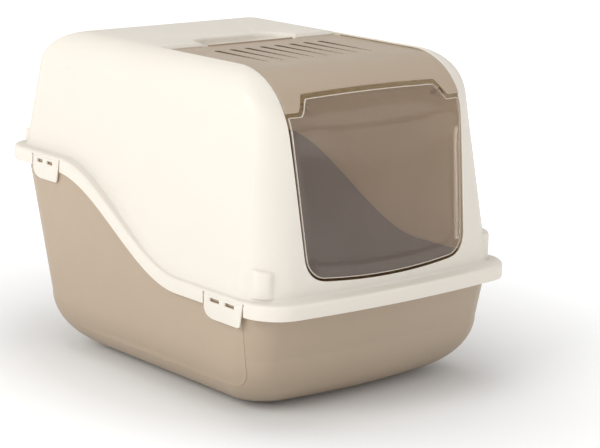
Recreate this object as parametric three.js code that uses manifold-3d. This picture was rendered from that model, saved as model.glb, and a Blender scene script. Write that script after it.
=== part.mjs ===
// Cat litter box with hood. Millimetres, +Z up, the front faces -Y,
// and the origin is on the floor in the middle of the tray.
import * as THREE from 'three';
import { mergeVertices } from 'three/addons/utils/BufferGeometryUtils.js';
import Module from 'manifold-3d';

const wasm = await Module();
wasm.setup();

// ---- driving dimensions ----
const WIDTH = 390;
const LENGTH = 540;
const HEIGHT = 395;
const WALL = 2.5;
const GAP = 0.3;
// How far a cutting body reaches past the face that it cuts.
const OVER = 1;

// The hood's ledge and the tray's rim climb together, from low at the front to high at the rear.
const SKIRT = { height: 17.5, frontBottom: 127.5, rise: 100, riseFrom: -92, riseTo: 149 };
const SKIRT_OUTLINE = { a: WIDTH / 2, yf: -256.5, yr: LENGTH / 2, rf: 40, rr: 40, bow: 13.5 };
const LEDGE_EDGE_R = 4;
const HOOD_ROOT_R = 3;

// Each wall of the hood leans inwards by a fixed slope, and rolls over into the flat roof.
const HOOD = {
  side: { at: 150, half: 188.2, lean: 0.104, roll: 38 },
  front: { at: 300, y: -215.8, lean: 0.141, roll: 84 },
  rear: { at: 250, y: 259.5, lean: 0.154, roll: 76 },
  rf: 44, rr: 30, bow: 10.6, roofCorner: 8,
};
// The roof falls slightly from where it meets the front's roll to the rear.
const ROOF = { fall: 0.008, from: -137.5, fadeLow: 250, fadeHigh: 370 };
const POST = { height: 26, cap: 2, proud: 2.4 };

const TRAY = {
  shoulder: { a: 188, yf: -220.2, yr: 192.6, rf: 38, rr: 38, bow: 15 },
  shoulderZ: 72, footInset: 76, footCorner: 30,
  sideLean: 0.02, frontLean: 0.21, rearLean: 0.31,
  rimCorner: 40, flange: 191.7,
};

// The door opening in the front runs on into the cut-out for the visor in the roof.
const OPENING = {
  bottom: 155, sag: 4.5, corner: 30, cornerRise: 2,
  halfLow: 124.6, halfHigh: 134.6, splayFrom: 190, splayTo: 350,
};
const VISOR = {
  half: 133.9, rearY: 19.4, top: 390.5, roll: 80, rollY: -137.5, bowHalf: 172,
  edgeCentre: 369, edgeCorner: 367, earBottom: 349, earIn: 101, earOut: 117,
};
const SEAT = {
  inner: 131.4, outer: 137, drop: 3.9, thick: 2.6, rearFrom: 7, rearTo: 22.4, floorTo: 20, railFrom: -185,
};
const POCKET = { frontHalf: 77, rearHalf: 48, from: 9, to: 62, straight: 8, depth: 13, corner: 14, wall: 2 };
const VENTS = { count: 8, pitch: 23, from: -112.5, to: -14.5, rearWidth: 8.5, frontWidth: 2.2, deep: 12 };

const AXIS = { y: -198.5, z: 352.5 };
const BOSS = { r: 4.5, from: 113.5, to: 131, ribFront: -201, ribRear: -197.5, ribTop: 357.5 };
const VISOR_PIN = { r: 2.2, from: 124.5, to: 138 };
const DOOR_PIN = { r: 2, from: 98.2, to: 121 };
const CHEEK = { from: 134.9, to: 139, front: -206, rear: -192, bottom: 345, top: 360 };

const DOOR = {
  thick: 2.5, inset: 0.8, gap: 3.4, topSideGap: 3.8, corner: 27, shoulder: 345, topGap: 4.4, earGap: 3.5,
  rim: 1.5, band: 16, dish: 4, dishFadeLow: 300, dishFadeHigh: 342,
};
const DOOR_LUG = { from: 98, to: 102, front: -208, rear: -194.5, bottom: 348.5, top: 356.5 };

const FILTER = { half: 92, from: -116, to: -12, thick: 6 };
const COVER = { rim: 3, lip: 2, border: 6, bars: 7, barWidth: 4 };

const CLIPS = {
  front: { from: -215, to: -146, drop: 14.5, windows: [[-200.6, -184], [-174, -157]] },
  rear: { from: 144.5, to: 200, drop: 14.5, windows: [[158, 170], [179, 191]] },
};
const CLIP = {
  taper: 4.5, slit: 1.8, thick: 2.4, windowTop: -3.5, windowSill: -8,
  corner: 5, sweep: 20, sweepRise: 12, toe: 2, hole: 1.6, slotInner: 192, slotOuter: 197, slotDeep: 60,
};
const LUG = { root: 182.1, out: 192.1, inset: 0.8, rise: 4.2 };

const COLORS = { white: 0xefece4, beige: 0xb39f87, smoke: 0x6d6158, pad: 0x2b2b2a, pin: 0x8f7d68 };

// ---- helpers ----
const lerp = (a, b, t) => a + (b - a) * t;
const range = (n) => Array.from({ length: n }, (_, k) => k);
const leanAngle = (wall) => Math.atan(wall.lean);

function solidFrom(geometry) {
  const bare = geometry.clone();
  bare.deleteAttribute('normal');
  bare.deleteAttribute('uv');
  const merged = mergeVertices(bare, 1e-4);
  const index = merged.index ? merged.index.array : range(merged.attributes.position.count);
  return new wasm.Manifold(new wasm.Mesh({
    numProp: 3,
    vertProperties: new Float32Array(merged.attributes.position.array),
    triVerts: new Uint32Array(index),
  }));
}

function geometryFrom(solid) {
  const mesh = solid.getMesh();
  const geometry = new THREE.BufferGeometry();
  geometry.setAttribute('position', new THREE.BufferAttribute(new Float32Array(mesh.vertProperties), 3));
  geometry.setIndex(new THREE.BufferAttribute(new Uint32Array(mesh.triVerts), 1));
  geometry.computeVertexNormals();
  return geometry;
}

function box(x0, x1, y0, y1, z0, z1) {
  const geometry = new THREE.BoxGeometry(x1 - x0, y1 - y0, z1 - z0);
  geometry.translate((x0 + x1) / 2, (y0 + y1) / 2, (z0 + z1) / 2);
  return solidFrom(geometry);
}

// A cylinder along X on the hinge axis.
function axle(r, x0, x1, sides = 16) {
  const geometry = new THREE.CylinderGeometry(r, r, x1 - x0, sides);
  geometry.rotateZ(Math.PI / 2);
  geometry.translate((x0 + x1) / 2, AXIS.y, AXIS.z);
  return solidFrom(geometry);
}

// An outline drawn in XY and extruded up from z0 to z1.
function slab(shape, z0, z1, curveSegments = 5) {
  const geometry = new THREE.ExtrudeGeometry(shape, { depth: z1 - z0, bevelEnabled: false, curveSegments });
  geometry.translate(0, 0, z0);
  return solidFrom(geometry);
}

// An outline drawn in XZ and extruded along Y from y0 to y1.
function slabAlongY(shape, y0, y1, curveSegments = 5) {
  const geometry = new THREE.ExtrudeGeometry(shape, { depth: y1 - y0, bevelEnabled: false, curveSegments });
  geometry.rotateX(Math.PI / 2);
  geometry.translate(0, y1, 0);
  return solidFrom(geometry);
}

// An outline drawn in YZ and extruded along X from x0 to x1.
function slabAlongX(shape, x0, x1, curveSegments = 5) {
  const geometry = new THREE.ExtrudeGeometry(shape, { depth: x1 - x0, bevelEnabled: false, curveSegments });
  geometry.applyMatrix4(new THREE.Matrix4().makeBasis(
    new THREE.Vector3(0, 1, 0), new THREE.Vector3(0, 0, 1), new THREE.Vector3(1, 0, 0)));
  geometry.translate(x0, 0, 0);
  return solidFrom(geometry);
}

function polygon(points) {
  return new THREE.Shape(points.map(([u, v]) => new THREE.Vector2(u, v)));
}

// A closed body from loops of equal length, closed at each end by a fan.
function stack(loops) {
  const solid = stackInOrder(loops);
  return solid.volume() > 0 ? solid : stackInOrder([...loops].reverse());
}

function stackInOrder(loops) {
  const n = loops[0].length;
  const positions = [];
  const index = [];
  loops.forEach((loop) => loop.forEach((p) => positions.push(...p)));
  for (let j = 0; j + 1 < loops.length; j += 1) {
    for (let i = 0; i < n; i += 1) {
      const a = j * n + i;
      const b = j * n + (i + 1) % n;
      index.push(a, b, b + n, a, b + n, a + n);
    }
  }
  const fan = (loopAt, flip) => {
    const loop = loops[loopAt];
    const middle = [0, 1, 2].map((k) => loop.reduce((sum, p) => sum + p[k], 0) / n);
    const centre = positions.length / 3;
    positions.push(...middle);
    for (let i = 0; i < n; i += 1) {
      const a = loopAt * n + i;
      const b = loopAt * n + (i + 1) % n;
      index.push(...(flip ? [b, a, centre] : [a, b, centre]));
    }
  };
  fan(0, true);
  fan(loops.length - 1, false);
  const geometry = new THREE.BufferGeometry();
  geometry.setAttribute('position', new THREE.BufferAttribute(new Float32Array(positions), 3));
  geometry.setIndex(index);
  return solidFrom(geometry);
}

// A closed sheet between two grids of points, front and back, of the same size.
function sheet(front, back) {
  const rows = front.length;
  const cols = front[0].length;
  const positions = [...front.flat(), ...back.flat()].flat();
  const at = (j, i) => j * cols + i;
  const other = rows * cols;
  const index = [];
  const quad = (a, b, c, d) => index.push(a, b, c, a, c, d);
  for (let j = 0; j + 1 < rows; j += 1) {
    for (let i = 0; i + 1 < cols; i += 1) {
      quad(at(j, i), at(j, i + 1), at(j + 1, i + 1), at(j + 1, i));
      quad(other + at(j, i), other + at(j + 1, i), other + at(j + 1, i + 1), other + at(j, i + 1));
    }
  }
  for (let i = 0; i + 1 < cols; i += 1) {
    quad(at(0, i), other + at(0, i), other + at(0, i + 1), at(0, i + 1));
    quad(at(rows - 1, i + 1), other + at(rows - 1, i + 1), other + at(rows - 1, i), at(rows - 1, i));
  }
  for (let j = 0; j + 1 < rows; j += 1) {
    quad(at(j + 1, 0), other + at(j + 1, 0), other + at(j, 0), at(j, 0));
    quad(at(j, cols - 1), other + at(j, cols - 1), other + at(j + 1, cols - 1), at(j + 1, cols - 1));
  }
  const geometry = new THREE.BufferGeometry();
  geometry.setAttribute('position', new THREE.BufferAttribute(new Float32Array(positions), 3));
  geometry.setIndex(index);
  const solid = solidFrom(geometry);
  return solid.volume() > 0 ? solid : solidFrom(geometry.clone().setIndex([...index].reverse()));
}

// ---- the outline that tray and hood share ----
const FRONT_STEPS = 5;
const CORNER_STEPS = 6;
const REAR_STEPS = 2;
const LEDGE_STEPS = 3;
const ROLL_STEPS = 7;
const INNER_ROLL_STEPS = 5;
const VISOR_ROLL_STEPS = 9;
const RAIL_STEPS = 6;
const MID_WALL = 0.6;
const MID_INNER_WALL = 0.5;
const SIDE_YS = [-163, ...range(18).map((k) => -110 + 15 * k), 195];

// Half an outline, from the middle of the front round by +X to the middle of the rear.
// Side points keep their own y when level is true, and spread evenly with the side when it is not.
function halfOutline(o, level) {
  const bowed = (x) => -o.bow * (1 - (x / o.a) ** 2);
  const frontEnd = o.yf + o.rf;
  const rearEnd = o.yr - o.rr;
  const reference = [SKIRT_OUTLINE.yf + SKIRT_OUTLINE.rf, SKIRT_OUTLINE.yr - SKIRT_OUTLINE.rr];
  const share = (y) => (y - reference[0]) / (reference[1] - reference[0]);
  const points = range(FRONT_STEPS).map((k) => {
    const x = (o.a - o.rf) * k / FRONT_STEPS;
    return [x, o.yf + bowed(x)];
  });
  for (let k = 0; k <= CORNER_STEPS; k += 1) {
    const turn = Math.PI / 2 * k / CORNER_STEPS;
    const x = o.a - o.rf * (1 - Math.sin(turn));
    points.push([x, frontEnd - o.rf * Math.cos(turn) + bowed(x)]);
  }
  SIDE_YS.forEach((y) => points.push([o.a, level ? y : lerp(frontEnd, rearEnd, share(y))]));
  for (let k = 0; k <= CORNER_STEPS; k += 1) {
    const turn = Math.PI / 2 * k / CORNER_STEPS;
    points.push([o.a - o.rr * (1 - Math.cos(turn)), rearEnd + o.rr * Math.sin(turn)]);
  }
  range(REAR_STEPS).forEach((k) => points.push([(o.a - o.rr) * (1 - (k + 1) / REAR_STEPS), o.yr]));
  return points;
}

const inset = (o, d) => ({ a: o.a - d, yf: o.yf + d, yr: o.yr - d, rf: o.rf - d, rr: o.rr - d, bow: o.bow });

function riseAt(y) {
  const t = Math.min(1, Math.max(0, (y - SKIRT.riseFrom) / (SKIRT.riseTo - SKIRT.riseFrom)));
  return SKIRT.rise * t * t * (3 - 2 * t);
}

const skirtBottom = (y) => SKIRT.frontBottom + riseAt(y);
const ledgeTop = (y) => skirtBottom(y) + SKIRT.height;

// Points of a half outline with the height given by heightAt(point, its place along the half).
function lift(half, heightAt) {
  return half.map((p, i) => [p[0], p[1], heightAt(p, i)]);
}

// The whole loop: the +X half and its mirror image.
function whole(half) {
  const mirrored = half.slice(1, -1).reverse().map(([x, y, z]) => [-x, y, z]);
  return [...half, ...mirrored];
}

const blend = (from, to, t) => from.map((p, i) => p.map((v, k) => lerp(v, to[i][k], t)));

// How far a point of the half belongs to the front (1, 0) or the rear (0, 1) of the box.
const HALF_COUNT = halfOutline(SKIRT_OUTLINE, true).length;
const FRONT_CORNER_END = FRONT_STEPS + CORNER_STEPS;
const REAR_CORNER_START = FRONT_CORNER_END + SIDE_YS.length + 1;
const ease = (t) => t * t * (3 - 2 * t);
function frontShare(i) {
  return ease(Math.min(1, Math.max(0, (FRONT_CORNER_END - i) / CORNER_STEPS)));
}
function rearShare(i) {
  return ease(Math.min(1, Math.max(0, (i - REAR_CORNER_START) / CORNER_STEPS)));
}

// ---- hood ----
// The visor's flat top falls with the roof.
const visorFlatZ = (y) => VISOR.top - ROOF.fall * Math.max(0, y - VISOR.rollY);

const sideHalf = (z) => HOOD.side.half - HOOD.side.lean * (z - HOOD.side.at);
const frontY = (z) => HOOD.front.y + HOOD.front.lean * (z - HOOD.front.at);
const rearY = (z) => HOOD.rear.y - HOOD.rear.lean * (z - HOOD.rear.at);

// Where a wall stops being straight and the centre of its roll, d inside the outer face.
function roll(wall, faceAt, outward, d) {
  const startZ = HEIGHT - wall.roll * (1 - Math.sin(leanAngle(wall)));
  const centre = faceAt(startZ) - outward * wall.roll * Math.cos(leanAngle(wall));
  return { startZ, centre, outward, radius: wall.roll - d, from: leanAngle(wall) };
}

const rollAngle = (r, t) => lerp(r.from, Math.PI / 2, t);
const rollReach = (r, t) => r.centre + r.outward * r.radius * Math.cos(rollAngle(r, t));

// How far the roof has fallen at y, for a point of the hood that is as high as z.
function roofFall(y, z) {
  const share = Math.min(1, Math.max(0, (z - ROOF.fadeLow) / (ROOF.fadeHigh - ROOF.fadeLow)));
  return ROOF.fall * Math.max(0, y - ROOF.from) * share;
}

// One loop of the roof's roll, t = 0 on the walls and t = 1 on the flat roof.
function rollHalf(t, d) {
  const side = roll(HOOD.side, sideHalf, 1, d);
  const front = roll(HOOD.front, frontY, -1, d);
  const rear = roll(HOOD.rear, rearY, 1, d);
  const turned = 1 - Math.cos(lerp(0, Math.PI / 2, t));
  const outline = {
    a: rollReach(side, t), yf: rollReach(front, t), yr: rollReach(rear, t), bow: HOOD.bow * (1 - turned),
    rf: lerp(HOOD.rf - d, HOOD.roofCorner, turned), rr: lerp(HOOD.rr - d, HOOD.roofCorner, turned),
  };
  const top = (wall, r) => HEIGHT - wall.roll + r.radius * Math.sin(rollAngle(r, t));
  const heightAt = (p, i) => {
    const toFront = frontShare(i);
    const toRear = rearShare(i);
    const z = top(HOOD.side, side) * (1 - toFront - toRear)
      + top(HOOD.front, front) * toFront + top(HOOD.rear, rear) * toRear;
    return z - roofFall(p[1], z);
  };
  return lift(halfOutline(outline, false), heightAt);
}

// The foot of the hood's walls where they stand on the ledge, out mm outside the face at z above it.
function rootHalf(above, out, d) {
  const lowZ = ledgeTop(SKIRT_OUTLINE.yf) + above;
  const highZ = ledgeTop(SKIRT_OUTLINE.yr) + above;
  const ends = { yf: frontY(lowZ) - out, yr: rearY(highZ) + out, bow: HOOD.bow };
  const outlineAt = (z) => inset({ a: sideHalf(z) + out, rf: HOOD.rf + out, rr: HOOD.rr + out, ...ends }, d);
  const ys = halfOutline(outlineAt(lowZ), true).map((p) => p[1]);
  return range(HALF_COUNT).map((i) => {
    const z = ledgeTop(ys[i]) + above - d;
    return [halfOutline(outlineAt(z), true)[i][0], ys[i], z];
  });
}

// The short posts at the hood's four corners, just above the ledge.
function postReach(i) {
  const middleFront = FRONT_STEPS + CORNER_STEPS / 2;
  const middleRear = REAR_CORNER_START + CORNER_STEPS / 2;
  return i === middleFront || i === middleRear ? POST.proud : 0;
}

// The wall's points, with those of the posts brought out over their foot.
function postHalf(half, foot) {
  return half.map(([x, y, z], i) => {
    const out = postReach(i);
    const away = Math.SQRT1_2 * out;
    return out ? [foot[i][0] + away, foot[i][1] + Math.sign(y) * away, z] : [x, y, z];
  });
}

function hoodLoops() {
  const loops = [];
  loops.push(lift(halfOutline(SKIRT_OUTLINE, true), (p) => skirtBottom(p[1])));
  for (let k = 0; k <= LEDGE_STEPS; k += 1) {
    const turn = Math.PI / 2 * k / LEDGE_STEPS;
    const outline = inset(SKIRT_OUTLINE, LEDGE_EDGE_R * (1 - Math.cos(turn)));
    const drop = LEDGE_EDGE_R * (1 - Math.sin(turn));
    loops.push(lift(halfOutline(outline, true), (p) => ledgeTop(p[1]) - drop));
  }
  const root = rootHalf(HOOD_ROOT_R, 0, 0);
  const shoulder = rollHalf(0, 0);
  const up = (z) => z / (shoulder[0][2] - root[0][2]);
  loops.push(rootHalf(0, HOOD_ROOT_R, 0));
  loops.push(postHalf(root, root));
  loops.push(postHalf(blend(root, shoulder, up(POST.height)), root));
  loops.push(blend(root, shoulder, up(POST.height + POST.cap)));
  loops.push(blend(root, shoulder, MID_WALL));
  range(ROLL_STEPS + 1).forEach((k) => loops.push(rollHalf(k / ROLL_STEPS, 0)));
  return loops;
}

function hoodInnerLoops() {
  const loops = [];
  const inner = inset(SKIRT_OUTLINE, WALL);
  loops.push(lift(halfOutline(inner, true), (p) => skirtBottom(p[1])));
  loops.push(lift(halfOutline(inner, true), (p) => ledgeTop(p[1]) - WALL));
  const root = rootHalf(0, 0, WALL);
  loops.push(root);
  const shoulder = rollHalf(0, WALL);
  loops.push(blend(root, shoulder, MID_INNER_WALL));
  range(INNER_ROLL_STEPS + 1).forEach((k) => loops.push(rollHalf(k / INNER_ROLL_STEPS, WALL)));
  return loops;
}

const splay = (OPENING.halfHigh - OPENING.halfLow) / (OPENING.splayTo - OPENING.splayFrom);
const openingHalf = (z) => OPENING.halfHigh - splay * Math.max(0, OPENING.splayTo - z);

function openingShape() {
  const foot = OPENING.bottom + OPENING.sag;
  const half = openingHalf(foot);
  const level = half - OPENING.corner;
  const low = foot + OPENING.corner;
  const shape = new THREE.Shape();
  shape.moveTo(-level, foot);
  shape.quadraticCurveTo(0, OPENING.bottom - OPENING.sag, level, foot);
  shape.quadraticCurveTo(half, foot + OPENING.cornerRise, openingHalf(low), low);
  shape.lineTo(OPENING.halfHigh, OPENING.splayTo);
  shape.lineTo(OPENING.halfHigh, HEIGHT + OVER);
  shape.lineTo(-OPENING.halfHigh, HEIGHT + OVER);
  shape.lineTo(-OPENING.halfHigh, OPENING.splayTo);
  shape.lineTo(-openingHalf(low), low);
  shape.quadraticCurveTo(-half, foot + OPENING.cornerRise, -level, foot);
  return shape;
}

function pocketShape(grow) {
  const shape = new THREE.Shape();
  const front = POCKET.frontHalf + grow;
  const rear = POCKET.rearHalf + grow;
  const y0 = POCKET.from - grow;
  const y1 = POCKET.to + grow;
  const r = POCKET.corner;
  shape.moveTo(-front, y0);
  shape.lineTo(front, y0);
  shape.lineTo(front, y0 + POCKET.straight);
  shape.bezierCurveTo(front, y1 - r, rear + r, y1, rear - r, y1);
  shape.lineTo(-rear + r, y1);
  shape.bezierCurveTo(-rear - r, y1, -front, y1 - r, -front, y0 + POCKET.straight);
  return shape;
}

// The narrow rails beside the roof cut-out that the visor's edges rest on.
function seatRail(side) {
  const reach = range(RAIL_STEPS + 1).map((k) => lerp(VISOR.rearY, SEAT.railFrom, k / RAIL_STEPS));
  const faceZ = (y) => {
    const behind = Math.min(0, y - VISOR.rollY);
    return visorFlatZ(y) - VISOR.roll + Math.sqrt(VISOR.roll ** 2 - behind ** 2);
  };
  const seatTop = reach.map((y) => faceZ(y) - SEAT.drop);
  const across = (x) => (k, dz) => [side * x, reach[k], seatTop[k] + dz];
  const web = (x0, x1, dz0, dz1) => {
    const loops = reach.map((_, k) => {
      const a = across(x0);
      const b = across(x1);
      return [a(k, dz0), b(k, dz0), b(k, dz1), a(k, dz1)];
    });
    return stack(loops);
  };
  const shelf = web(SEAT.inner, SEAT.outer, -SEAT.thick, 0);
  return shelf.add(web(OPENING.halfHigh, SEAT.outer, -SEAT.thick, SEAT.drop));
}

function clipSlots(side, clip) {
  const top = ledgeTop((clip.from + clip.to) / 2) - LEDGE_EDGE_R;
  const x = [side * CLIP.slotInner, side * CLIP.slotOuter].sort((a, b) => a - b);
  const gate = box(x[0], x[1], clip.from - CLIP.slit, clip.to + CLIP.slit, top - CLIP.slotDeep, top);
  const holes = [clip.from - CLIP.slit / 2, clip.to + CLIP.slit / 2].map((y) => {
    const geometry = new THREE.CylinderGeometry(CLIP.hole, CLIP.hole, x[1] - x[0], 8);
    geometry.rotateZ(Math.PI / 2);
    geometry.translate((x[0] + x[1]) / 2, y, top);
    return solidFrom(geometry);
  });
  return holes.reduce((sum, hole) => sum.add(hole), gate);
}

function hood() {
  const outer = hoodLoops().map(whole);
  const inner = hoodInnerLoops().map(whole);
  const envelope = stack(outer);
  let solid = stack([...inner.reverse(), ...outer]);
  const floorZ = visorFlatZ(VISOR.rearY) - SEAT.drop;
  const seat = box(-SEAT.outer, SEAT.outer, SEAT.rearFrom, SEAT.rearTo, floorZ - SEAT.thick, HEIGHT);
  const pocket = slab(pocketShape(POCKET.wall), HEIGHT - POCKET.depth - WALL, HEIGHT);
  solid = solid.add(seat.add(pocket).intersect(envelope));
  const through = slabAlongY(openingShape(), -LENGTH, SEAT.rearFrom);
  solid = solid.subtract(through);
  const half = OPENING.halfHigh;
  solid = solid.subtract(box(-half, half, SEAT.rearFrom - OVER, SEAT.floorTo, floorZ, HEIGHT + OVER));
  solid = solid.subtract(slab(pocketShape(0), HEIGHT - POCKET.depth, HEIGHT + OVER));
  [-1, 1].forEach((side) => {
    const x = [side * CHEEK.from, side * CHEEK.to].sort((a, b) => a - b);
    const cheek = box(x[0], x[1], CHEEK.front, CHEEK.rear, CHEEK.bottom, CHEEK.top);
    solid = solid.add(seatRail(side).add(cheek).intersect(envelope));
    solid = solid.subtract(axle(VISOR_PIN.r + GAP, x[0] - OVER, x[1] + OVER));
    Object.values(CLIPS).forEach((clip) => {
      solid = solid.subtract(clipSlots(side, clip));
    });
  });
  return solid;
}

// ---- tray ----
const FOOT_TURNS = [0, 0.17, 0.34, 0.5, 0.67, 0.84, 1];

function trayOutlineAt(z) {
  const s = TRAY.shoulder;
  const up = z - TRAY.shoulderZ;
  const ends = { yf: s.yf - TRAY.frontLean * up, yr: s.yr + TRAY.rearLean * up };
  return { ...s, ...ends, a: s.a + TRAY.sideLean * up };
}

const rimTop = (y) => ledgeTop(y) - WALL - GAP;

// The top of the tray's wall, d inside its outer face and drop below the rim.
function trayTopHalf(d, drop) {
  const lowZ = rimTop(SKIRT_OUTLINE.yf) - drop;
  const highZ = rimTop(SKIRT_OUTLINE.yr) - drop;
  const ends = { yf: trayOutlineAt(lowZ).yf, yr: trayOutlineAt(highZ).yr, rr: TRAY.rimCorner };
  const outlineAt = (z) => inset({ ...trayOutlineAt(z), ...ends }, d);
  const ys = halfOutline(outlineAt(lowZ), true).map((p) => p[1]);
  return range(HALF_COUNT).map((i) => {
    const z = rimTop(ys[i]) - drop;
    return [halfOutline(outlineAt(z), true)[i][0], ys[i], z];
  });
}

// One loop of the tray's rounded lower edge, t = 0 on the floor and t = 1 on the walls.
function footHalf(t, d) {
  const s = TRAY.shoulder;
  const turn = Math.PI / 2 * t;
  const inwards = TRAY.footInset - (TRAY.footInset - d) * Math.sin(turn);
  const corner = lerp(TRAY.footCorner, s.rf - d, Math.sin(turn));
  const outline = {
    a: s.a - inwards, yf: s.yf + inwards, yr: s.yr - inwards, rf: corner, rr: corner, bow: s.bow,
  };
  return lift(halfOutline(outline, false), () => TRAY.shoulderZ - (TRAY.shoulderZ - d) * Math.cos(turn));
}

function tray() {
  const flange = inset(SKIRT_OUTLINE, WIDTH / 2 - TRAY.flange);
  const flangeLoop = (drop) => lift(halfOutline(flange, true), (p) => rimTop(p[1]) - drop);
  const outer = [];
  FOOT_TURNS.forEach((t) => outer.push(footHalf(t, 0)));
  const wallTop = trayTopHalf(0, WALL);
  outer.push(blend(footHalf(1, 0), wallTop, MID_INNER_WALL), wallTop, flangeLoop(WALL), flangeLoop(0));
  const innerTop = trayTopHalf(WALL, 0);
  const inner = [innerTop, blend(footHalf(1, WALL), innerTop, MID_INNER_WALL)];
  [...FOOT_TURNS].reverse().forEach((t) => inner.push(footHalf(t, WALL)));
  let solid = stack([...outer, ...inner].map(whole));
  [-1, 1].forEach((side) => {
    Object.values(CLIPS).forEach((clip) => {
      const top = ledgeTop((clip.from + clip.to) / 2) - LEDGE_EDGE_R;
      clip.windows.forEach(([from, to]) => {
        const bottom = top + CLIP.windowSill + LUG.inset;
        const x = [side * LUG.root, side * LUG.out].sort((a, b) => a - b);
        const lugTop = top + CLIP.windowTop + LUG.rise;
        solid = solid.add(box(x[0], x[1], from + LUG.inset, to - LUG.inset, bottom, lugTop));
      });
    });
  });
  return solid;
}

// ---- clips ----
function clip(side, spec) {
  const top = ledgeTop((spec.from + spec.to) / 2) - LEDGE_EDGE_R - GAP;
  const bottom = skirtBottom((spec.from + spec.to) / 2) - spec.drop;
  const shape = new THREE.Shape();
  const r = CLIP.corner;
  const low = spec.from + CLIP.taper;
  shape.moveTo(low + r, bottom);
  shape.lineTo(spec.to - CLIP.sweep, bottom);
  shape.quadraticCurveTo(spec.to - CLIP.toe, bottom, spec.to, bottom + CLIP.sweepRise);
  shape.lineTo(spec.to, top);
  shape.lineTo(spec.from, top);
  shape.lineTo(low, bottom + r);
  shape.quadraticCurveTo(low, bottom, low + r, bottom);
  const outer = WIDTH / 2;
  const x = [side * outer, side * (outer - CLIP.thick)].sort((a, b) => a - b);
  let solid = slabAlongX(shape, x[0], x[1]);
  spec.windows.forEach(([from, to]) => {
    const sill = top + GAP + CLIP.windowSill;
    const head = top + GAP + CLIP.windowTop;
    solid = solid.subtract(box(x[0] - OVER, x[1] + OVER, from, to, sill, head));
  });
  return solid;
}

// ---- visor ----
const shownBow = (x) => HOOD.bow * (VISOR.half ** 2 - x ** 2) / VISOR.bowHalf ** 2;
const visorRollZ = VISOR.top - VISOR.roll;

// The visor's lower edge: level between the ears, and lower on them.
function visorEdge(x) {
  const t = Math.min(1, Math.max(0, (Math.abs(x) - VISOR.earIn) / (VISOR.earOut - VISOR.earIn)));
  const share = Math.min(Math.abs(x), VISOR.earIn) / VISOR.earIn;
  const middle = lerp(VISOR.edgeCentre, VISOR.edgeCorner, share ** 2);
  return lerp(middle, VISOR.earBottom, ease(t));
}

// A point of the visor's face at angle up the roll, depth mm inside it.
function rollPoint(x, angle, depth) {
  const r = VISOR.roll - depth;
  const bow = shownBow(x) * Math.cos(angle);
  return [x, VISOR.rollY - r * Math.cos(angle) - bow, visorRollZ + r * Math.sin(angle)];
}

function mirroredXs(xs) {
  return [...xs.slice(1).reverse().map((x) => -x), ...xs];
}

// Where the visor's grid has points, closer together across the ears.
const VISOR_XS = mirroredXs([0, 35, 70, 92, 101, 105, 109, 113, 117, 125, VISOR.half]);
const VISOR_FLAT_YS = [VISOR.rearY, -40, -95];

function visorGrid(depth) {
  const flat = VISOR_FLAT_YS.map((y) => VISOR_XS.map((x) => [x, y, visorFlatZ(y) - depth]));
  const rolled = range(VISOR_ROLL_STEPS + 1).map((k) => VISOR_XS.map((x) => {
    const low = Math.asin((visorEdge(x) - visorRollZ) / VISOR.roll);
    return rollPoint(x, lerp(Math.PI / 2, low, k / VISOR_ROLL_STEPS), depth);
  }));
  return [...flat, ...rolled];
}

function ventSlot(x) {
  const rear = VENTS.rearWidth / 2;
  const front = VENTS.frontWidth / 2;
  return slab(polygon([
    [x - front, VENTS.from], [x + front, VENTS.from], [x + rear, VENTS.to], [x - rear, VENTS.to],
  ]), VISOR.top - VENTS.deep, VISOR.top + OVER);
}

function visor() {
  let solid = sheet(visorGrid(0), visorGrid(WALL));
  range(VENTS.count).forEach((k) => {
    solid = solid.subtract(ventSlot((k - (VENTS.count - 1) / 2) * VENTS.pitch));
  });
  [-1, 1].forEach((side) => {
    const across = (from, to) => [side * from, side * to].sort((a, b) => a - b);
    const boss = axle(BOSS.r, ...across(BOSS.from, BOSS.to));
    const web = across(BOSS.from, BOSS.to);
    const rib = box(web[0], web[1], BOSS.ribFront, BOSS.ribRear, AXIS.z, BOSS.ribTop);
    solid = solid.add(boss.add(rib));
    solid = solid.subtract(axle(VISOR_PIN.r + GAP, ...across(VISOR_PIN.from - GAP, VISOR_PIN.to)));
    solid = solid.subtract(axle(DOOR_PIN.r + GAP, ...across(DOOR_PIN.from, DOOR_PIN.to + GAP)));
  });
  return solid;
}

// ---- swing door ----
// The door's face follows the hood's leaning front, then the visor's roll.
function doorPoint(x, z, depth) {
  const tilt = leanAngle(HOOD.front);
  const joinZ = visorRollZ + VISOR.roll * Math.sin(tilt);
  if (z >= joinZ) return rollPoint(x, Math.asin((z - visorRollZ) / VISOR.roll), depth);
  const join = rollPoint(x, tilt, depth);
  return [x, join[1] + HOOD.front.lean * (z - joinZ), join[2] + z - joinZ];
}

function doorTop(x) {
  const past = Math.abs(x) + DOOR.earGap - VISOR.earIn;
  const t = Math.min(1, Math.max(0, past / (VISOR.earOut - VISOR.earIn)));
  const middle = visorEdge(Math.min(Math.abs(x), VISOR.earIn)) - DOOR.topGap;
  return lerp(middle, DOOR.shoulder, ease(t));
}

function doorBottom(x) {
  const level = OPENING.halfLow - DOOR.gap - DOOR.corner;
  const into = Math.min(1, Math.max(0, Math.abs(x) - level) / DOOR.corner);
  const sag = OPENING.sag * Math.min(1, Math.abs(x) / level) ** 2;
  return OPENING.bottom + DOOR.gap + sag + DOOR.corner * (1 - Math.sqrt(1 - into ** 2));
}

const doorHalf = (z) => openingHalf(z) - DOOR.gap;

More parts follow.
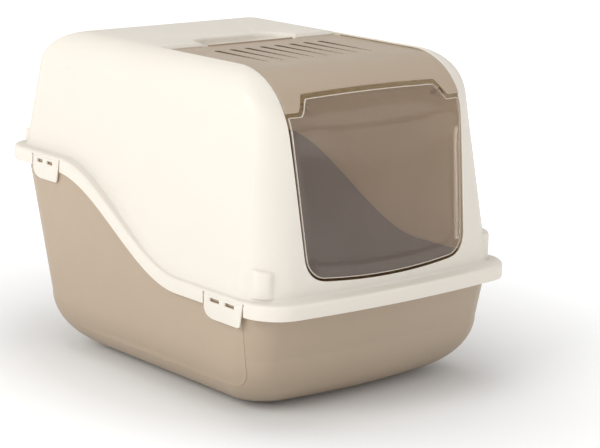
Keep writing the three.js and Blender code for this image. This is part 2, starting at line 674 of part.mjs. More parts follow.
// How far the pane is sunk behind its rim, deepest in the middle and none at the top.
function doorDish(x, z) {
  const fromSide = doorHalf(z) - Math.abs(x);
  const level = Math.max(0, 1 - (x / (OPENING.halfLow - DOOR.gap - DOOR.corner)) ** 2);
  const fromFoot = z - OPENING.bottom - DOOR.gap - OPENING.sag * (1 - level);
  const toCorner = Math.hypot(Math.max(0, DOOR.corner - fromSide), Math.max(0, DOOR.corner - fromFoot));
  const fromEdge = Math.min(DOOR.corner - toCorner, DOOR.band + DOOR.rim);
  const share = Math.min(1, Math.max(0, fromEdge - DOOR.rim) / DOOR.band);
  const fade = Math.min(1, Math.max(0, (DOOR.dishFadeHigh - z) / (DOOR.dishFadeHigh - DOOR.dishFadeLow)));
  return DOOR.dish * (1 - (1 - share) ** 2) * ease(fade);
}

// Shares of the door's half width and of its height, closer together at its curved edges.
const DOOR_SHARES = mirroredXs([0, 0.25, 0.5, 0.7, 0.78, 0.84, 0.9, 0.95, 0.985, 1]);
const DOOR_LEVELS = [0, 0.012, 0.035, 0.06, 0.09, 0.12, 0.2, 0.4, 0.6, 0.7, 0.8, 0.87, 0.93, 1];

// The door's sides splay upwards with the opening's.
function doorGrid(depth) {
  const halfLow = OPENING.halfLow - DOOR.gap;
  const halfTop = OPENING.halfHigh - DOOR.topSideGap;
  return DOOR_LEVELS.map((v) => DOOR_SHARES.map((s) => {
    const lowX = s * halfLow;
    const highX = s * halfTop;
    const z = lerp(doorBottom(lowX), doorTop(highX), v);
    const splay = Math.max(0, (z - OPENING.splayFrom) / (OPENING.splayTo - OPENING.splayFrom));
    const x = lerp(lowX, highX, Math.min(1, splay));
    return doorPoint(x, z, depth + doorDish(x, z));
  }));
}

function door() {
  let solid = sheet(doorGrid(DOOR.inset), doorGrid(DOOR.inset + DOOR.thick));
  [-1, 1].forEach((side) => {
    const x = [side * DOOR_LUG.from, side * DOOR_LUG.to].sort((a, b) => a - b);
    const lug = box(x[0], x[1], DOOR_LUG.front, DOOR_LUG.rear, DOOR_LUG.bottom, DOOR_LUG.top);
    solid = solid.add(lug.subtract(axle(DOOR_PIN.r + GAP, x[0] - OVER, x[1] + OVER)));
  });
  return solid;
}

// ---- pins, filter and its cover ----
function pin(side, spec) {
  return axle(spec.r, ...[side * spec.from, side * spec.to].sort((a, b) => a - b));
}

const filterTop = visorFlatZ(FILTER.to) - WALL - GAP;

function carbonFilter() {
  return box(-FILTER.half, FILTER.half, FILTER.from, FILTER.to, filterTop - FILTER.thick, filterTop);
}

function filterCover() {
  const side = FILTER.half + GAP;
  const wide = side + COVER.rim;
  const ys = [FILTER.from - GAP, FILTER.to + GAP];
  const low = filterTop - FILTER.thick - GAP;
  let solid = box(-wide, wide, ys[0] - COVER.rim, ys[1] + COVER.rim, low - COVER.lip, filterTop);
  solid = solid.subtract(box(-side, side, ys[0], ys[1], low, filterTop + OVER));
  const b = COVER.border;
  const pitch = 2 * (side - b) / COVER.bars;
  range(COVER.bars).forEach((k) => {
    const x = -side + b + pitch * k + COVER.barWidth / 2;
    const slotTo = x + pitch - COVER.barWidth;
    const slot = box(x, slotTo, ys[0] + b, ys[1] - b, low - COVER.lip - OVER, low + OVER);
    solid = solid.subtract(slot);
  });
  return solid;
}

// ---- assembly ----
function mesh(name, solid, color, roughness, extra = {}) {
  const material = new THREE.MeshStandardMaterial({ color, roughness, metalness: 0, ...extra });
  const node = new THREE.Mesh(geometryFrom(solid), material);
  node.name = name;
  return node;
}

const litterBox = new THREE.Group();
litterBox.add(mesh('litter_tray', tray(), COLORS.beige, 0.45));
litterBox.add(mesh('hood', hood(), COLORS.white, 0.35));
Object.entries(CLIPS).forEach(([place, spec]) => {
  litterBox.add(mesh(`clip_${place}_left`, clip(-1, spec), COLORS.white, 0.35));
  litterBox.add(mesh(`clip_${place}_right`, clip(1, spec), COLORS.white, 0.35));
});
litterBox.add(mesh('top_visor', visor(), COLORS.beige, 0.45));
litterBox.add(mesh('swing_door', door(), COLORS.smoke, 0.1, { transparent: true, opacity: 0.5 }));
litterBox.add(mesh('visor_pin_left', pin(-1, VISOR_PIN), COLORS.pin, 0.4));
litterBox.add(mesh('visor_pin_right', pin(1, VISOR_PIN), COLORS.pin, 0.4));
litterBox.add(mesh('door_pin_left', pin(-1, DOOR_PIN), COLORS.pin, 0.4));
litterBox.add(mesh('door_pin_right', pin(1, DOOR_PIN), COLORS.pin, 0.4));
litterBox.add(mesh('filter_cover', filterCover(), COLORS.beige, 0.5));
litterBox.add(mesh('carbon_filter', carbonFilter(), COLORS.pad, 0.95));

export default litterBox;
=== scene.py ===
"""Looks of the hooded cat litter box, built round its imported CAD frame.

Shapes are worked out in millimetres, as in the CAD model, and made in metres. +Z is up, the front faces -Y.
"""
from math import asin, atan, cos, hypot, pi, radians, sin, sqrt

import bmesh
import bpy
import numpy as np
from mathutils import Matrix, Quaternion, Vector
from mathutils.bvhtree import BVHTree


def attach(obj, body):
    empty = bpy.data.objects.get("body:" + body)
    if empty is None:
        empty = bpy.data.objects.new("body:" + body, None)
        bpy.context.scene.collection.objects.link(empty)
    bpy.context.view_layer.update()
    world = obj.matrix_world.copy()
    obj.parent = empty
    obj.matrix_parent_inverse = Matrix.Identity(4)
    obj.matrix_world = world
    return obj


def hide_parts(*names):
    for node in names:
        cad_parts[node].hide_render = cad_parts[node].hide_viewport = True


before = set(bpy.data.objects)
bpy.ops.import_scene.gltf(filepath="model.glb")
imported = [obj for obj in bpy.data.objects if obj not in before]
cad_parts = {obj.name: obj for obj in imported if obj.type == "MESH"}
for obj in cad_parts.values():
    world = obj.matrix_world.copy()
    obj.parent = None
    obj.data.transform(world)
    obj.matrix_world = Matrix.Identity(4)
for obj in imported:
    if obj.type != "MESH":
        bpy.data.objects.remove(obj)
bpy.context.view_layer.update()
MM = 0.001

# ---- sizes shared with the CAD model ----
WIDTH, LENGTH, HEIGHT, WALL, GAP = 390.0, 540.0, 395.0, 2.5, 0.3
SKIRT = dict(height=17.5, front_bottom=127.5, rise=100.0, rise_from=-92.0, rise_to=149.0)
SKIRT_OUTLINE = dict(a=195.0, yf=-256.5, yr=270.0, rf=40.0, rr=40.0, bow=13.5)
LEDGE_EDGE_R, ROOT_R, LIP_R = 4.0, 3.0, 0.8
SIDE = dict(at=150.0, face=188.2, lean=0.104, roll=38.0)
FRONT = dict(at=300.0, face=-215.8, lean=0.141, roll=84.0)
REAR = dict(at=250.0, face=259.5, lean=0.154, roll=76.0)
HOOD = dict(rf=44.0, rr=30.0, bow=10.6, roof_corner=8.0)
ROOF = dict(fall=0.008, start=-137.5, fade_low=250.0, fade_high=370.0)
POST = dict(proud=2.4, round_from=23.5, top=28.0)
TRAY = dict(a=188.0, yf=-220.2, yr=192.6, rf=38.0, rr=38.0, bow=15.0)
TRAY_SHOULDER, FOOT_INSET, FOOT_CORNER, RIM_CORNER, FLANGE = 72.0, 76.0, 30.0, 40.0, 191.7
TRAY_LEAN = dict(side=0.02, front=0.21, rear=0.31)
OPENING = dict(bottom=155.0, sag=4.5, corner=30.0, rise=2.0, low=124.6, high=134.6, splay=(190.0, 350.0))
VISOR = dict(half=133.9, rear=19.4, top=390.5, roll=80.0, roll_y=-137.5, bow_half=172.0,
             edge=369.0, edge_corner=367.0, ear=349.0, ear_in=101.0, ear_out=117.0)
SEAT = dict(inner=131.4, outer=137.0, drop=3.9, thick=2.6, start=7.0, end=22.4, floor_end=20.0, rail=-185.0)
POCKET = dict(front=77.0, rear=48.0, start=9.0, end=62.0, straight=8.0, depth=13.0, corner=14.0, wall=2.0)
VENTS = dict(count=8, pitch=23.0, front=-112.5, rear=-14.5, rear_width=8.5, front_width=2.2)
AXIS = dict(y=-198.5, z=352.5)
BOSS = dict(r=4.5, start=113.5, end=131.0, rib=(-201.0, -197.5), rib_top=357.5)
VISOR_PIN = dict(r=2.2, start=124.5, end=138.0)
DOOR_PIN = dict(r=2.0, start=98.2, end=121.0)
CHEEK = dict(x=(134.9, 139.0), y=(-206.0, -192.0), z=(345.0, 360.0))
DOOR = dict(thick=2.5, inset=0.8, gap=3.4, top_side=3.8, corner=27.0, shoulder=345.0, top_gap=4.4,
            ear_gap=3.5, rim=1.5, band=16.0, dish=4.0, fade=(300.0, 342.0))
DOOR_LUG = dict(x=(98.0, 102.0), y=(-208.0, -194.5), z=(348.5, 356.5))
FILTER = dict(half=92.0, y=(-116.0, -12.0), thick=6.0)
CLIPS = {"front": dict(y=(-215.0, -146.0), drop=14.5, windows=((-200.6, -184.0), (-174.0, -157.0))),
         "rear": dict(y=(144.5, 200.0), drop=14.5, windows=((158.0, 170.0), (179.0, 191.0)))}
CLIP = dict(taper=4.5, slit=1.8, thick=2.4, top=-3.5, sill=-8.0, corner=5.0, sweep=20.0, sweep_rise=12.0,
            toe=2.0, hole=1.6, slot=(192.0, 197.0), deep=60.0)
LUG = dict(root=182.1, out=192.1, inset=0.8, rise=4.2)

# ---- how finely the shapes are drawn ----
FRONT_STEPS, CORNER_STEPS, REAR_STEPS = 30, 24, 12
SIDE_YS = np.linspace(-178.0, 198.0, 128)
WALL_STEPS, ROLL_STEPS = 70, 26


def lerp(a, b, t):
    return a + (b - a) * t


def ease(t):
    t = np.clip(t, 0.0, 1.0)
    return t * t * (3 - 2 * t)


def quarter(steps):
    """The angles of a quarter turn, in equal steps."""
    return [k / steps * pi / 2 for k in range(steps + 1)]


def heading(before, after):
    """The unit vector from one point to another."""
    step = np.array(after) - np.array(before)
    return step / np.linalg.norm(step)


def ease_between(value, start, end):
    """Eases from 0 at start to 1 at end."""
    return ease((value - start) / (end - start))


# ---- mesh helpers ----
def new_object(name, data):
    obj = bpy.data.objects.new(name, data)
    bpy.context.scene.collection.objects.link(obj)
    return obj


def mesh_object(name, vertices, faces):
    """A mesh from millimetre points."""
    data = bpy.data.meshes.new(name)
    data.from_pydata((np.asarray(vertices, dtype=float) * MM).tolist(), [], faces)
    data.update()
    obj = new_object(name, data)
    outward(obj)
    return obj


def outward(obj):
    work = bmesh.new()
    work.from_mesh(obj.data)
    bmesh.ops.recalc_face_normals(work, faces=work.faces)
    if work.calc_volume(signed=True) < 0:
        bmesh.ops.reverse_faces(work, faces=work.faces)
    work.to_mesh(obj.data)
    work.free()


def stack(name, loops):
    """A closed body from loops of equal length, with a fan at each end."""
    count = len(loops[0])
    vertices = [p for loop in loops for p in loop]
    faces = []
    for j in range(len(loops) - 1):
        for i in range(count):
            a, b = j * count + i, j * count + (i + 1) % count
            faces.append((a, b, b + count, a + count))
    for at in (0, len(loops) - 1):
        centre = len(vertices)
        vertices.append(np.mean(loops[at], axis=0))
        faces += [(at * count + i, at * count + (i + 1) % count, centre) for i in range(count)]
    return mesh_object(name, vertices, faces)


def sheet(name, front, back):
    """A closed sheet between two grids of points of the same size."""
    rows, cols = front.shape[:2]
    vertices = np.vstack([front.reshape(-1, 3), back.reshape(-1, 3)])
    other = rows * cols
    faces = []
    for j in range(rows - 1):
        for i in range(cols - 1):
            a = j * cols + i
            quad = (a, a + 1, a + cols + 1, a + cols)
            faces.append(quad)
            faces.append(tuple(other + k for k in reversed(quad)))
    ring = [(0, i) for i in range(cols)] + [(j, cols - 1) for j in range(1, rows)]
    ring += [(rows - 1, i) for i in range(cols - 2, -1, -1)] + [(j, 0) for j in range(rows - 2, 0, -1)]
    ids = [j * cols + i for j, i in ring]
    for k, a in enumerate(ids):
        b = ids[(k + 1) % len(ids)]
        faces.append((b, a, other + a, other + b))
    return mesh_object(name, vertices, faces)


def prism(name, outline, place, low, high):
    """An outline extruded from low to high; place(u, v, w) says where a point goes."""
    count = len(outline)
    vertices = [place(u, v, w) for w in (low, high) for u, v in outline]
    faces = [tuple(range(count)), tuple(range(2 * count - 1, count - 1, -1))]
    for i in range(count):
        b = (i + 1) % count
        faces.append((i, b, count + b, count + i))
    return mesh_object(name, vertices, faces)


def up_z(u, v, w):
    return (u, v, w)


def along_y(u, v, w):
    return (u, w, v)


def along_x(u, v, w):
    return (w, u, v)


def block(name, x, y, z):
    x, y, z = sorted(x), sorted(y), sorted(z)
    return prism(name, [(x[0], y[0]), (x[1], y[0]), (x[1], y[1]), (x[0], y[1])], up_z, z[0], z[1])


def axle(name, r, x, y=None, z=None, sides=40):
    y = AXIS["y"] if y is None else y
    z = AXIS["z"] if z is None else z
    turns = [2 * pi * k / sides for k in range(sides)]
    return prism(name, [(y + r * cos(t), z + r * sin(t)) for t in turns], along_x, *sorted(x))


def remove(obj):
    bpy.data.objects.remove(obj, do_unlink=True)


def apply_modifiers(obj):
    graph = bpy.context.evaluated_depsgraph_get()
    made = bpy.data.meshes.new_from_object(obj.evaluated_get(graph))
    obj.modifiers.clear()
    old = obj.data
    obj.data = made
    bpy.data.meshes.remove(old)


def boolean(obj, other, operation):
    """Joins, cuts or crosses obj with other, then drops other."""
    modifier = obj.modifiers.new("cut", "BOOLEAN")
    modifier.operation = operation
    modifier.solver = "MANIFOLD"
    modifier.object = other
    apply_modifiers(obj)
    remove(other)
    return obj


def join(objects):
    """One object that holds several separate bodies."""
    work = bmesh.new()
    for obj in objects:
        work.from_mesh(obj.data)
    work.to_mesh(objects[0].data)
    work.free()
    for obj in objects[1:]:
        remove(obj)
    return objects[0]


def union(objects):
    for other in objects[1:]:
        boolean(objects[0], other, "UNION")
    return objects[0]


def bevel(obj, width, segments=3):
    modifier = obj.modifiers.new("bevel", "BEVEL")
    modifier.width = width * MM
    modifier.segments = segments
    modifier.limit_method = "ANGLE"
    modifier.angle_limit = radians(50)
    modifier.use_clamp_overlap = True
    apply_modifiers(obj)


def smooth(obj, angle):
    obj.data.polygons.foreach_set("use_smooth", [True] * len(obj.data.polygons))
    obj.data.set_sharp_from_angle(angle=radians(angle))


def ray_tree(obj):
    """The faces of obj, to send rays at."""
    return BVHTree.FromPolygons([tuple(v.co) for v in obj.data.vertices],
                                [tuple(p.vertices) for p in obj.data.polygons])


def meet(tree, origin, direction, sunk):
    """Where a ray meets the faces, moved sunk mm in along the normal."""
    at, normal, _, _ = tree.ray_cast(Vector(origin) * MM, Vector(direction))
    return np.array(at) / MM - np.array(normal) * sunk


def bezier(points, steps):
    """Points on a quadratic or cubic curve, without its first point."""
    out = []
    for k in range(1, steps + 1):
        t, level = k / steps, [np.array(p, dtype=float) for p in points]
        while len(level) > 1:
            level = [lerp(a, b, t) for a, b in zip(level, level[1:])]
        out.append(tuple(level[0]))
    return out


# ---- the outline that tray and hood share ----
CORNER_TURN = np.linspace(0.0, 1.0, CORNER_STEPS + 1)
FRONT_AT = np.arange(FRONT_STEPS) / FRONT_STEPS
REAR_AT = 1 - (np.arange(REAR_STEPS) + 1) / REAR_STEPS
# How much of a change in half width each point of the half outline follows.
WIDTH_SHARE = np.concatenate([FRONT_AT, np.ones(2 * (CORNER_STEPS + 1) + len(SIDE_YS)), REAR_AT])
FRONT_SHARE = np.concatenate([np.ones(FRONT_STEPS), ease(1 - CORNER_TURN),
                              np.zeros(len(SIDE_YS) + CORNER_STEPS + 1 + REAR_STEPS)])
REAR_SHARE = np.concatenate([np.zeros(FRONT_STEPS + CORNER_STEPS + 1 + len(SIDE_YS)), ease(CORNER_TURN),
                             np.ones(REAR_STEPS)])
# A post stands on the middle third of each corner, and its sides run out softly.
POST_HALF_TURN, POST_SOFT_TURN = 0.165, 0.06
POST_TURN = ease((POST_HALF_TURN - np.abs(CORNER_TURN - 0.5)) / POST_SOFT_TURN)
POST_SHARE = np.concatenate([np.zeros(FRONT_STEPS), POST_TURN, np.zeros(len(SIDE_YS)), POST_TURN,
                             np.zeros(REAR_STEPS)])


def half_outline(o, level=True):
    """Half an outline, from the middle of the front round by +X to the middle of the rear."""
    def bowed(x):
        return -o["bow"] * (1 - (x / o["a"]) ** 2)
    front_end, rear_end = o["yf"] + o["rf"], o["yr"] - o["rr"]
    reference = SKIRT_OUTLINE["yf"] + SKIRT_OUTLINE["rf"], SKIRT_OUTLINE["yr"] - SKIRT_OUTLINE["rr"]
    turn = CORNER_TURN * pi / 2
    front_x = (o["a"] - o["rf"]) * FRONT_AT
    corner_x = o["a"] - o["rf"] * (1 - np.sin(turn))
    share = (SIDE_YS - reference[0]) / (reference[1] - reference[0])
    side_y = SIDE_YS if level else lerp(front_end, rear_end, share)
    x = np.concatenate([front_x, corner_x, np.full(len(side_y), o["a"]),
                        o["a"] - o["rr"] * (1 - np.cos(turn)), (o["a"] - o["rr"]) * REAR_AT])
    y = np.concatenate([o["yf"] + bowed(front_x), front_end - o["rf"] * np.cos(turn) + bowed(corner_x),
                        side_y, rear_end + o["rr"] * np.sin(turn), np.full(REAR_STEPS, o["yr"])])
    return np.column_stack([x, y])


def inset(o, d):
    return dict(o, a=o["a"] - d, yf=o["yf"] + d, yr=o["yr"] - d, rf=o["rf"] - d, rr=o["rr"] - d)


def lift(half, z):
    return np.column_stack([half, np.broadcast_to(z, len(half))])


def whole(half):
    mirrored = half[1:-1][::-1] * (-1, 1, 1)
    return np.vstack([half, mirrored])


def skirt_bottom(y):
    return SKIRT["front_bottom"] + SKIRT["rise"] * ease_between(y, SKIRT["rise_from"], SKIRT["rise_to"])


def ledge_top(y):
    return skirt_bottom(y) + SKIRT["height"]


def rim_top(y):
    return ledge_top(y) - WALL - GAP


def rounded_box(y, z, low, high, r):
    """Signed distance to a rounded rectangle, positive inside."""
    cy, cz = (low[0] + high[0]) / 2, (low[1] + high[1]) / 2
    qy = np.abs(y - cy) - (high[0] - low[0]) / 2 + r
    qz = np.abs(z - cz) - (high[1] - low[1]) / 2 + r
    return r - np.hypot(np.maximum(qy, 0), np.maximum(qz, 0)) - np.minimum(np.maximum(qy, qz), 0)


# ---- hood ----
SIDE_PANEL = dict(low=(-196.0, 40.0), high=(206.0, 353.0), r=36.0, depth=1.1, soft=3.0,
                  clear=8.0, side=(150.0, 165.0))


def side_half(z):
    return SIDE["face"] - SIDE["lean"] * (z - SIDE["at"])


def front_y(z):
    return FRONT["face"] + FRONT["lean"] * (z - FRONT["at"])


def rear_y(z):
    return REAR["face"] - REAR["lean"] * (z - REAR["at"])


def roll_reach(wall, face_at, out, d, t):
    """Where a wall's roll has got to at t, from 0 on the wall to 1 on the roof, and how high."""
    lean = atan(wall["lean"])
    start_z = HEIGHT - wall["roll"] * (1 - sin(lean))
    centre = face_at(start_z) - out * wall["roll"] * cos(lean)
    turn = lerp(lean, pi / 2, t)
    r = wall["roll"] - d
    return centre + out * r * cos(turn), HEIGHT - wall["roll"] + r * sin(turn)


def roll_half(t, d):
    a, side_z = roll_reach(SIDE, side_half, 1, d, t)
    yf, front_z = roll_reach(FRONT, front_y, -1, d, t)
    yr, rear_z = roll_reach(REAR, rear_y, 1, d, t)
    turned = 1 - cos(t * pi / 2)
    outline = dict(a=a, yf=yf, yr=yr, bow=HOOD["bow"] * (1 - turned),
                   rf=lerp(HOOD["rf"] - d, HOOD["roof_corner"], turned),
                   rr=lerp(HOOD["rr"] - d, HOOD["roof_corner"], turned))
    half = half_outline(outline, False)
    z = side_z * (1 - FRONT_SHARE - REAR_SHARE) + front_z * FRONT_SHARE + rear_z * REAR_SHARE
    share = np.clip((z - ROOF["fade_low"]) / (ROOF["fade_high"] - ROOF["fade_low"]), 0, 1)
    return lift(half, z - ROOF["fall"] * np.maximum(0, half[:, 1] - ROOF["start"]) * share)


def root_half(above, out, d):
    """The foot of the hood's walls, out mm outside the face, above the ledge."""
    low, high = ledge_top(SKIRT_OUTLINE["yf"]) + above, ledge_top(SKIRT_OUTLINE["yr"]) + above
    o = inset(dict(a=side_half(low) + out, yf=front_y(low) - out, yr=rear_y(high) + out,
                   rf=HOOD["rf"] + out, rr=HOOD["rr"] + out, bow=HOOD["bow"]), d)
    half = half_outline(o)
    z = ledge_top(half[:, 1]) + above - d
    half[:, 0] += (side_half(z) - side_half(low)) * WIDTH_SHARE
    return lift(half, z)


def with_post(half, foot, share):
    """The wall's points, with those of the corner posts brought out over their foot."""
    away = sqrt(0.5) * POST["proud"]
    over = half.copy()
    over[:, 0] = foot[:, 0] + away
    over[:, 1] = foot[:, 1] + np.sign(foot[:, 1]) * away
    return lerp(half, over, (POST_SHARE * share)[:, None])


def sink_panel(half, foot):
    """Sinks the flat panel in the hood's side a little."""
    p = SIDE_PANEL
    inside = ease(rounded_box(half[:, 1], half[:, 2], p["low"], p["high"], p["r"]) / p["soft"])
    clear = ease((half[:, 2] - foot[:, 2]) / p["clear"])
    on_side = ease_between(half[:, 0], *p["side"])
    half = half.copy()
    half[:, 0] -= p["depth"] * inside * clear * on_side
    return half


def skirt_foot(outline, inwards, steps):
    """The rounded foot of the skirt, from its lowest line out to the wall."""
    loops = []
    for turn in quarter(steps):
        half = half_outline(inset(outline, inwards * LIP_R * (1 - sin(turn))))
        loops.append(lift(half, skirt_bottom(half[:, 1]) + LIP_R * (1 - cos(turn))))
    return loops


def hood_outer():
    loops = skirt_foot(SKIRT_OUTLINE, 1, 4)
    for turn in quarter(8):
        half = half_outline(inset(SKIRT_OUTLINE, LEDGE_EDGE_R * (1 - cos(turn))))
        loops.append(lift(half, ledge_top(half[:, 1]) - LEDGE_EDGE_R * (1 - sin(turn))))
    for turn in quarter(6)[:-1]:
        loops.append(root_half(ROOT_R * (1 - cos(turn)), ROOT_R * (1 - sin(turn)), 0))
    root, shoulder = root_half(ROOT_R, 0, 0), roll_half(0, 0)
    reach = shoulder[0, 2] - root[0, 2]
    round_from, top = POST["round_from"], POST["top"]
    ups = [0, 2, 4, 7, 11, 15, 19, 22, round_from, 24.5, 25.3, 26, 26.7, 27.5, top]
    for up in ups:
        share = sqrt(max(0.0, 1 - max(0.0, (up - round_from) / (top - round_from)) ** 2))
        loops.append(sink_panel(with_post(lerp(root, shoulder, up / reach), root, share), root))
    rest = [lerp(top / reach, 1, k / WALL_STEPS) for k in range(1, WALL_STEPS)]
    loops += [sink_panel(lerp(root, shoulder, t), root) for t in rest]
    loops += [sink_panel(roll_half(k / ROLL_STEPS, 0), root) for k in range(ROLL_STEPS + 1)]
    return loops


def hood_inner():
    o = inset(SKIRT_OUTLINE, WALL)
    half = half_outline(o)
    loops = skirt_foot(o, -1, 3)
    loops.append(lift(half, ledge_top(half[:, 1]) - WALL))
    root, shoulder = root_half(0, 0, WALL), roll_half(0, WALL)
    loops += [lerp(root, shoulder, k / 16) for k in range(16)]
    loops += [roll_half(k / 14, WALL) for k in range(15)]
    return loops


def opening_half(z):
    low, high = OPENING["splay"]
    return OPENING["high"] - (OPENING["high"] - OPENING["low"]) / (high - low) * max(0.0, high - z)


def opening_outline(grow):
    """The right half of the opening's outline, from the middle of its foot up to its top."""
    foot = OPENING["bottom"] + OPENING["sag"]
    half, low = opening_half(foot), foot + OPENING["corner"]
    level = half - OPENING["corner"]
    points = [(0.0, OPENING["bottom"])]
    whole_foot = bezier([(-level, foot), (0, OPENING["bottom"] - OPENING["sag"]), (level, foot)], 40)
    points += whole_foot[20:]
    points += bezier([(level, foot), (half, foot + OPENING["rise"]), (opening_half(low), low)], 16)
    points += [(opening_half(z), z) for z in np.linspace(low, OPENING["splay"][1], 40)[1:]]
    out = []
    for k, (x, z) in enumerate(points):
        before, after = points[max(k - 1, 0)], points[min(k + 1, len(points) - 1)]
        tangent = heading(before, after)
        out.append((x + grow * tangent[1] if k else 0.0, z - grow * tangent[0]))
    return out


def mirrored(outline):
    return outline + [(-x, z) for x, z in reversed(outline[1:])]


def pocket_outline(grow, start=None):
    front, rear = POCKET["front"] + grow, POCKET["rear"] + grow
    y0 = POCKET["start"] - grow if start is None else start
    y1, r, s = POCKET["end"] + grow, POCKET["corner"], POCKET["straight"]
    right = [(front, y0), (front, y0 + s)]
    right += bezier([(front, y0 + s), (front, y1 - r), (rear + r, y1), (rear - r, y1)], 18)
    across = [(x, y0) for x in np.linspace(-front, front, 14)[1:-1]]
    left = [(-x, y) for x, y in reversed(right)]
    return right + left + across


def roof_top(y):
    """The height of the flat part of the roof."""
    return HEIGHT - ROOF["fall"] * (y - ROOF["start"])


def visor_flat(y):
    return VISOR["top"] - ROOF["fall"] * max(0.0, y - VISOR["roll_y"])


SCOOP = dict(floor_r=5.0, brim=4.0, brim_drop=4.6, flare=3.5, above=1.5)


def pocket_cutter():
    """The finger recess as a scoop: a soft floor, leaning walls and a rounded brim."""
    roof = roof_top(POCKET["start"])
    floor = HEIGHT - POCKET["depth"]
    turns = quarter(6)

    def loop(grow, z):
        return lift(np.array(pocket_outline(grow, POCKET["start"])), z)
    r, brim, drop = SCOOP["floor_r"], SCOOP["brim"], SCOOP["brim_drop"]
    loops = [loop(-(brim + r) + r * sin(t), floor + r * (1 - cos(t))) for t in turns]
    loops += [loop(-brim + brim * (1 - cos(t)), roof - drop + drop * sin(t)) for t in turns]
    loops.append(loop(SCOOP["flare"], roof + SCOOP["above"]))
    return stack("pocket", loops)


def seat_rail(side):
    ys = np.linspace(VISOR["rear"], SEAT["rail"], 30)
    tops = []
    for y in ys:
        before = min(0.0, y - VISOR["roll_y"])
        fall = VISOR["roll"] - sqrt(VISOR["roll"] ** 2 - before ** 2)
        tops.append(visor_flat(y) - fall - SEAT["drop"])

    def web(x0, x1, dz0, dz1):
        return stack("rail", [np.array([(side * x0, y, z + dz0), (side * x1, y, z + dz0),
                                        (side * x1, y, z + dz1), (side * x0, y, z + dz1)])
                              for y, z in zip(ys, tops)])
    shelf = web(SEAT["inner"], SEAT["outer"], -SEAT["thick"], 0)
    return boolean(shelf, web(OPENING["high"], SEAT["outer"], -SEAT["thick"], SEAT["drop"]), "UNION")


EDGE_GROW, BEAD_R, BEAD_SUNK = 1.0, 1.35, 1.2555
FAR_OUT = 200.0


def edge_bead(shell):
    """The rounded edge of the opening, swept round it in the middle of the wall."""
    tree = ray_tree(shell)

    def hit(origin, direction):
        return meet(tree, origin, direction, BEAD_SUNK)
    before, above = SKIRT_OUTLINE["yf"] - FAR_OUT, HEIGHT + FAR_OUT
    path = [hit((x, before, z), (0, 1, 0)) for x, z in opening_outline(EDGE_GROW)]
    side_x = OPENING["high"] + EDGE_GROW
    low_turn = asin((OPENING["splay"][1] - (HEIGHT - FRONT["roll"])) / FRONT["roll"])
    for turn in np.linspace(low_turn, pi / 2, 26)[1:]:
        away = np.array((0, -cos(turn), sin(turn)))
        centre = np.array((side_x, ROOF["start"], HEIGHT - FRONT["roll"]))
        path.append(hit(centre + away * FAR_OUT, -away))
    ys = np.linspace(ROOF["start"], SEAT["floor_end"] + 1, 30)[1:]
    path += [hit((side_x, y, above), (0, 0, -1)) for y in ys]
    path = np.array(path)
    path = np.vstack([path[:0:-1] * (-1, 1, 1), path])
    return tube("bead", path, BEAD_R, 12)


def tube(name, path, r, sides):
    loops = []
    across = np.array([0.0, 0.0, 1.0])
    for k, point in enumerate(path):
        tangent = heading(path[max(k - 1, 0)], path[min(k + 1, len(path) - 1)])
        across = across - tangent * np.dot(across, tangent)
        across /= np.linalg.norm(across)
        other = np.cross(tangent, across)
        loops.append(np.array([point + r * (cos(t) * across + sin(t) * other)
                               for t in np.arange(sides) * 2 * pi / sides]))
    return stack(name, loops)


def side_line(shell, points, r, sinks):
    """Cutters for a groove in both side walls through (y, z) points, each with its own sink."""
    tree = ray_tree(shell)
    path = np.array([meet(tree, (-WIDTH, y, z), (1, 0, 0), sink - r) for (y, z), sink in zip(points, sinks)])
    return [tube("line", path, r, 12), tube("line", path * (-1, 1, 1), r, 12)]


def clip_top(spec):
    return ledge_top(sum(spec["y"]) / 2) - LEDGE_EDGE_R


def clip_slot(side, spec):
    top, y, x = clip_top(spec), spec["y"], [side * v for v in CLIP["slot"]]
    gate = block("slot", x, (y[0] - CLIP["slit"], y[1] + CLIP["slit"]), (top - CLIP["deep"], top))
    hinge_ends = (y[0] - CLIP["slit"] / 2, y[1] + CLIP["slit"] / 2)
    ends = [axle("hole", CLIP["hole"], x, at, top, 20) for at in hinge_ends]
    return union([gate] + ends)


# The chamfer that takes the roof's edge down behind the visor.
ROOF_CHAMFER = dict(width=3.0, rise=3.0, lap=1.0, past=0.3)
CUT_ABOVE = 9.0


def roof_chamfer(half):
    y, lap, past = SEAT["floor_end"], ROOF_CHAMFER["lap"], ROOF_CHAMFER["past"]
    roof, edge = roof_top(SEAT["end"]), visor_flat(VISOR["rear"])
    shape = [(y - lap, edge - past), (y + ROOF_CHAMFER["width"], roof + past),
             (y - lap, roof + ROOF_CHAMFER["rise"])]
    return prism("ease_off", shape, along_x, -half, half)


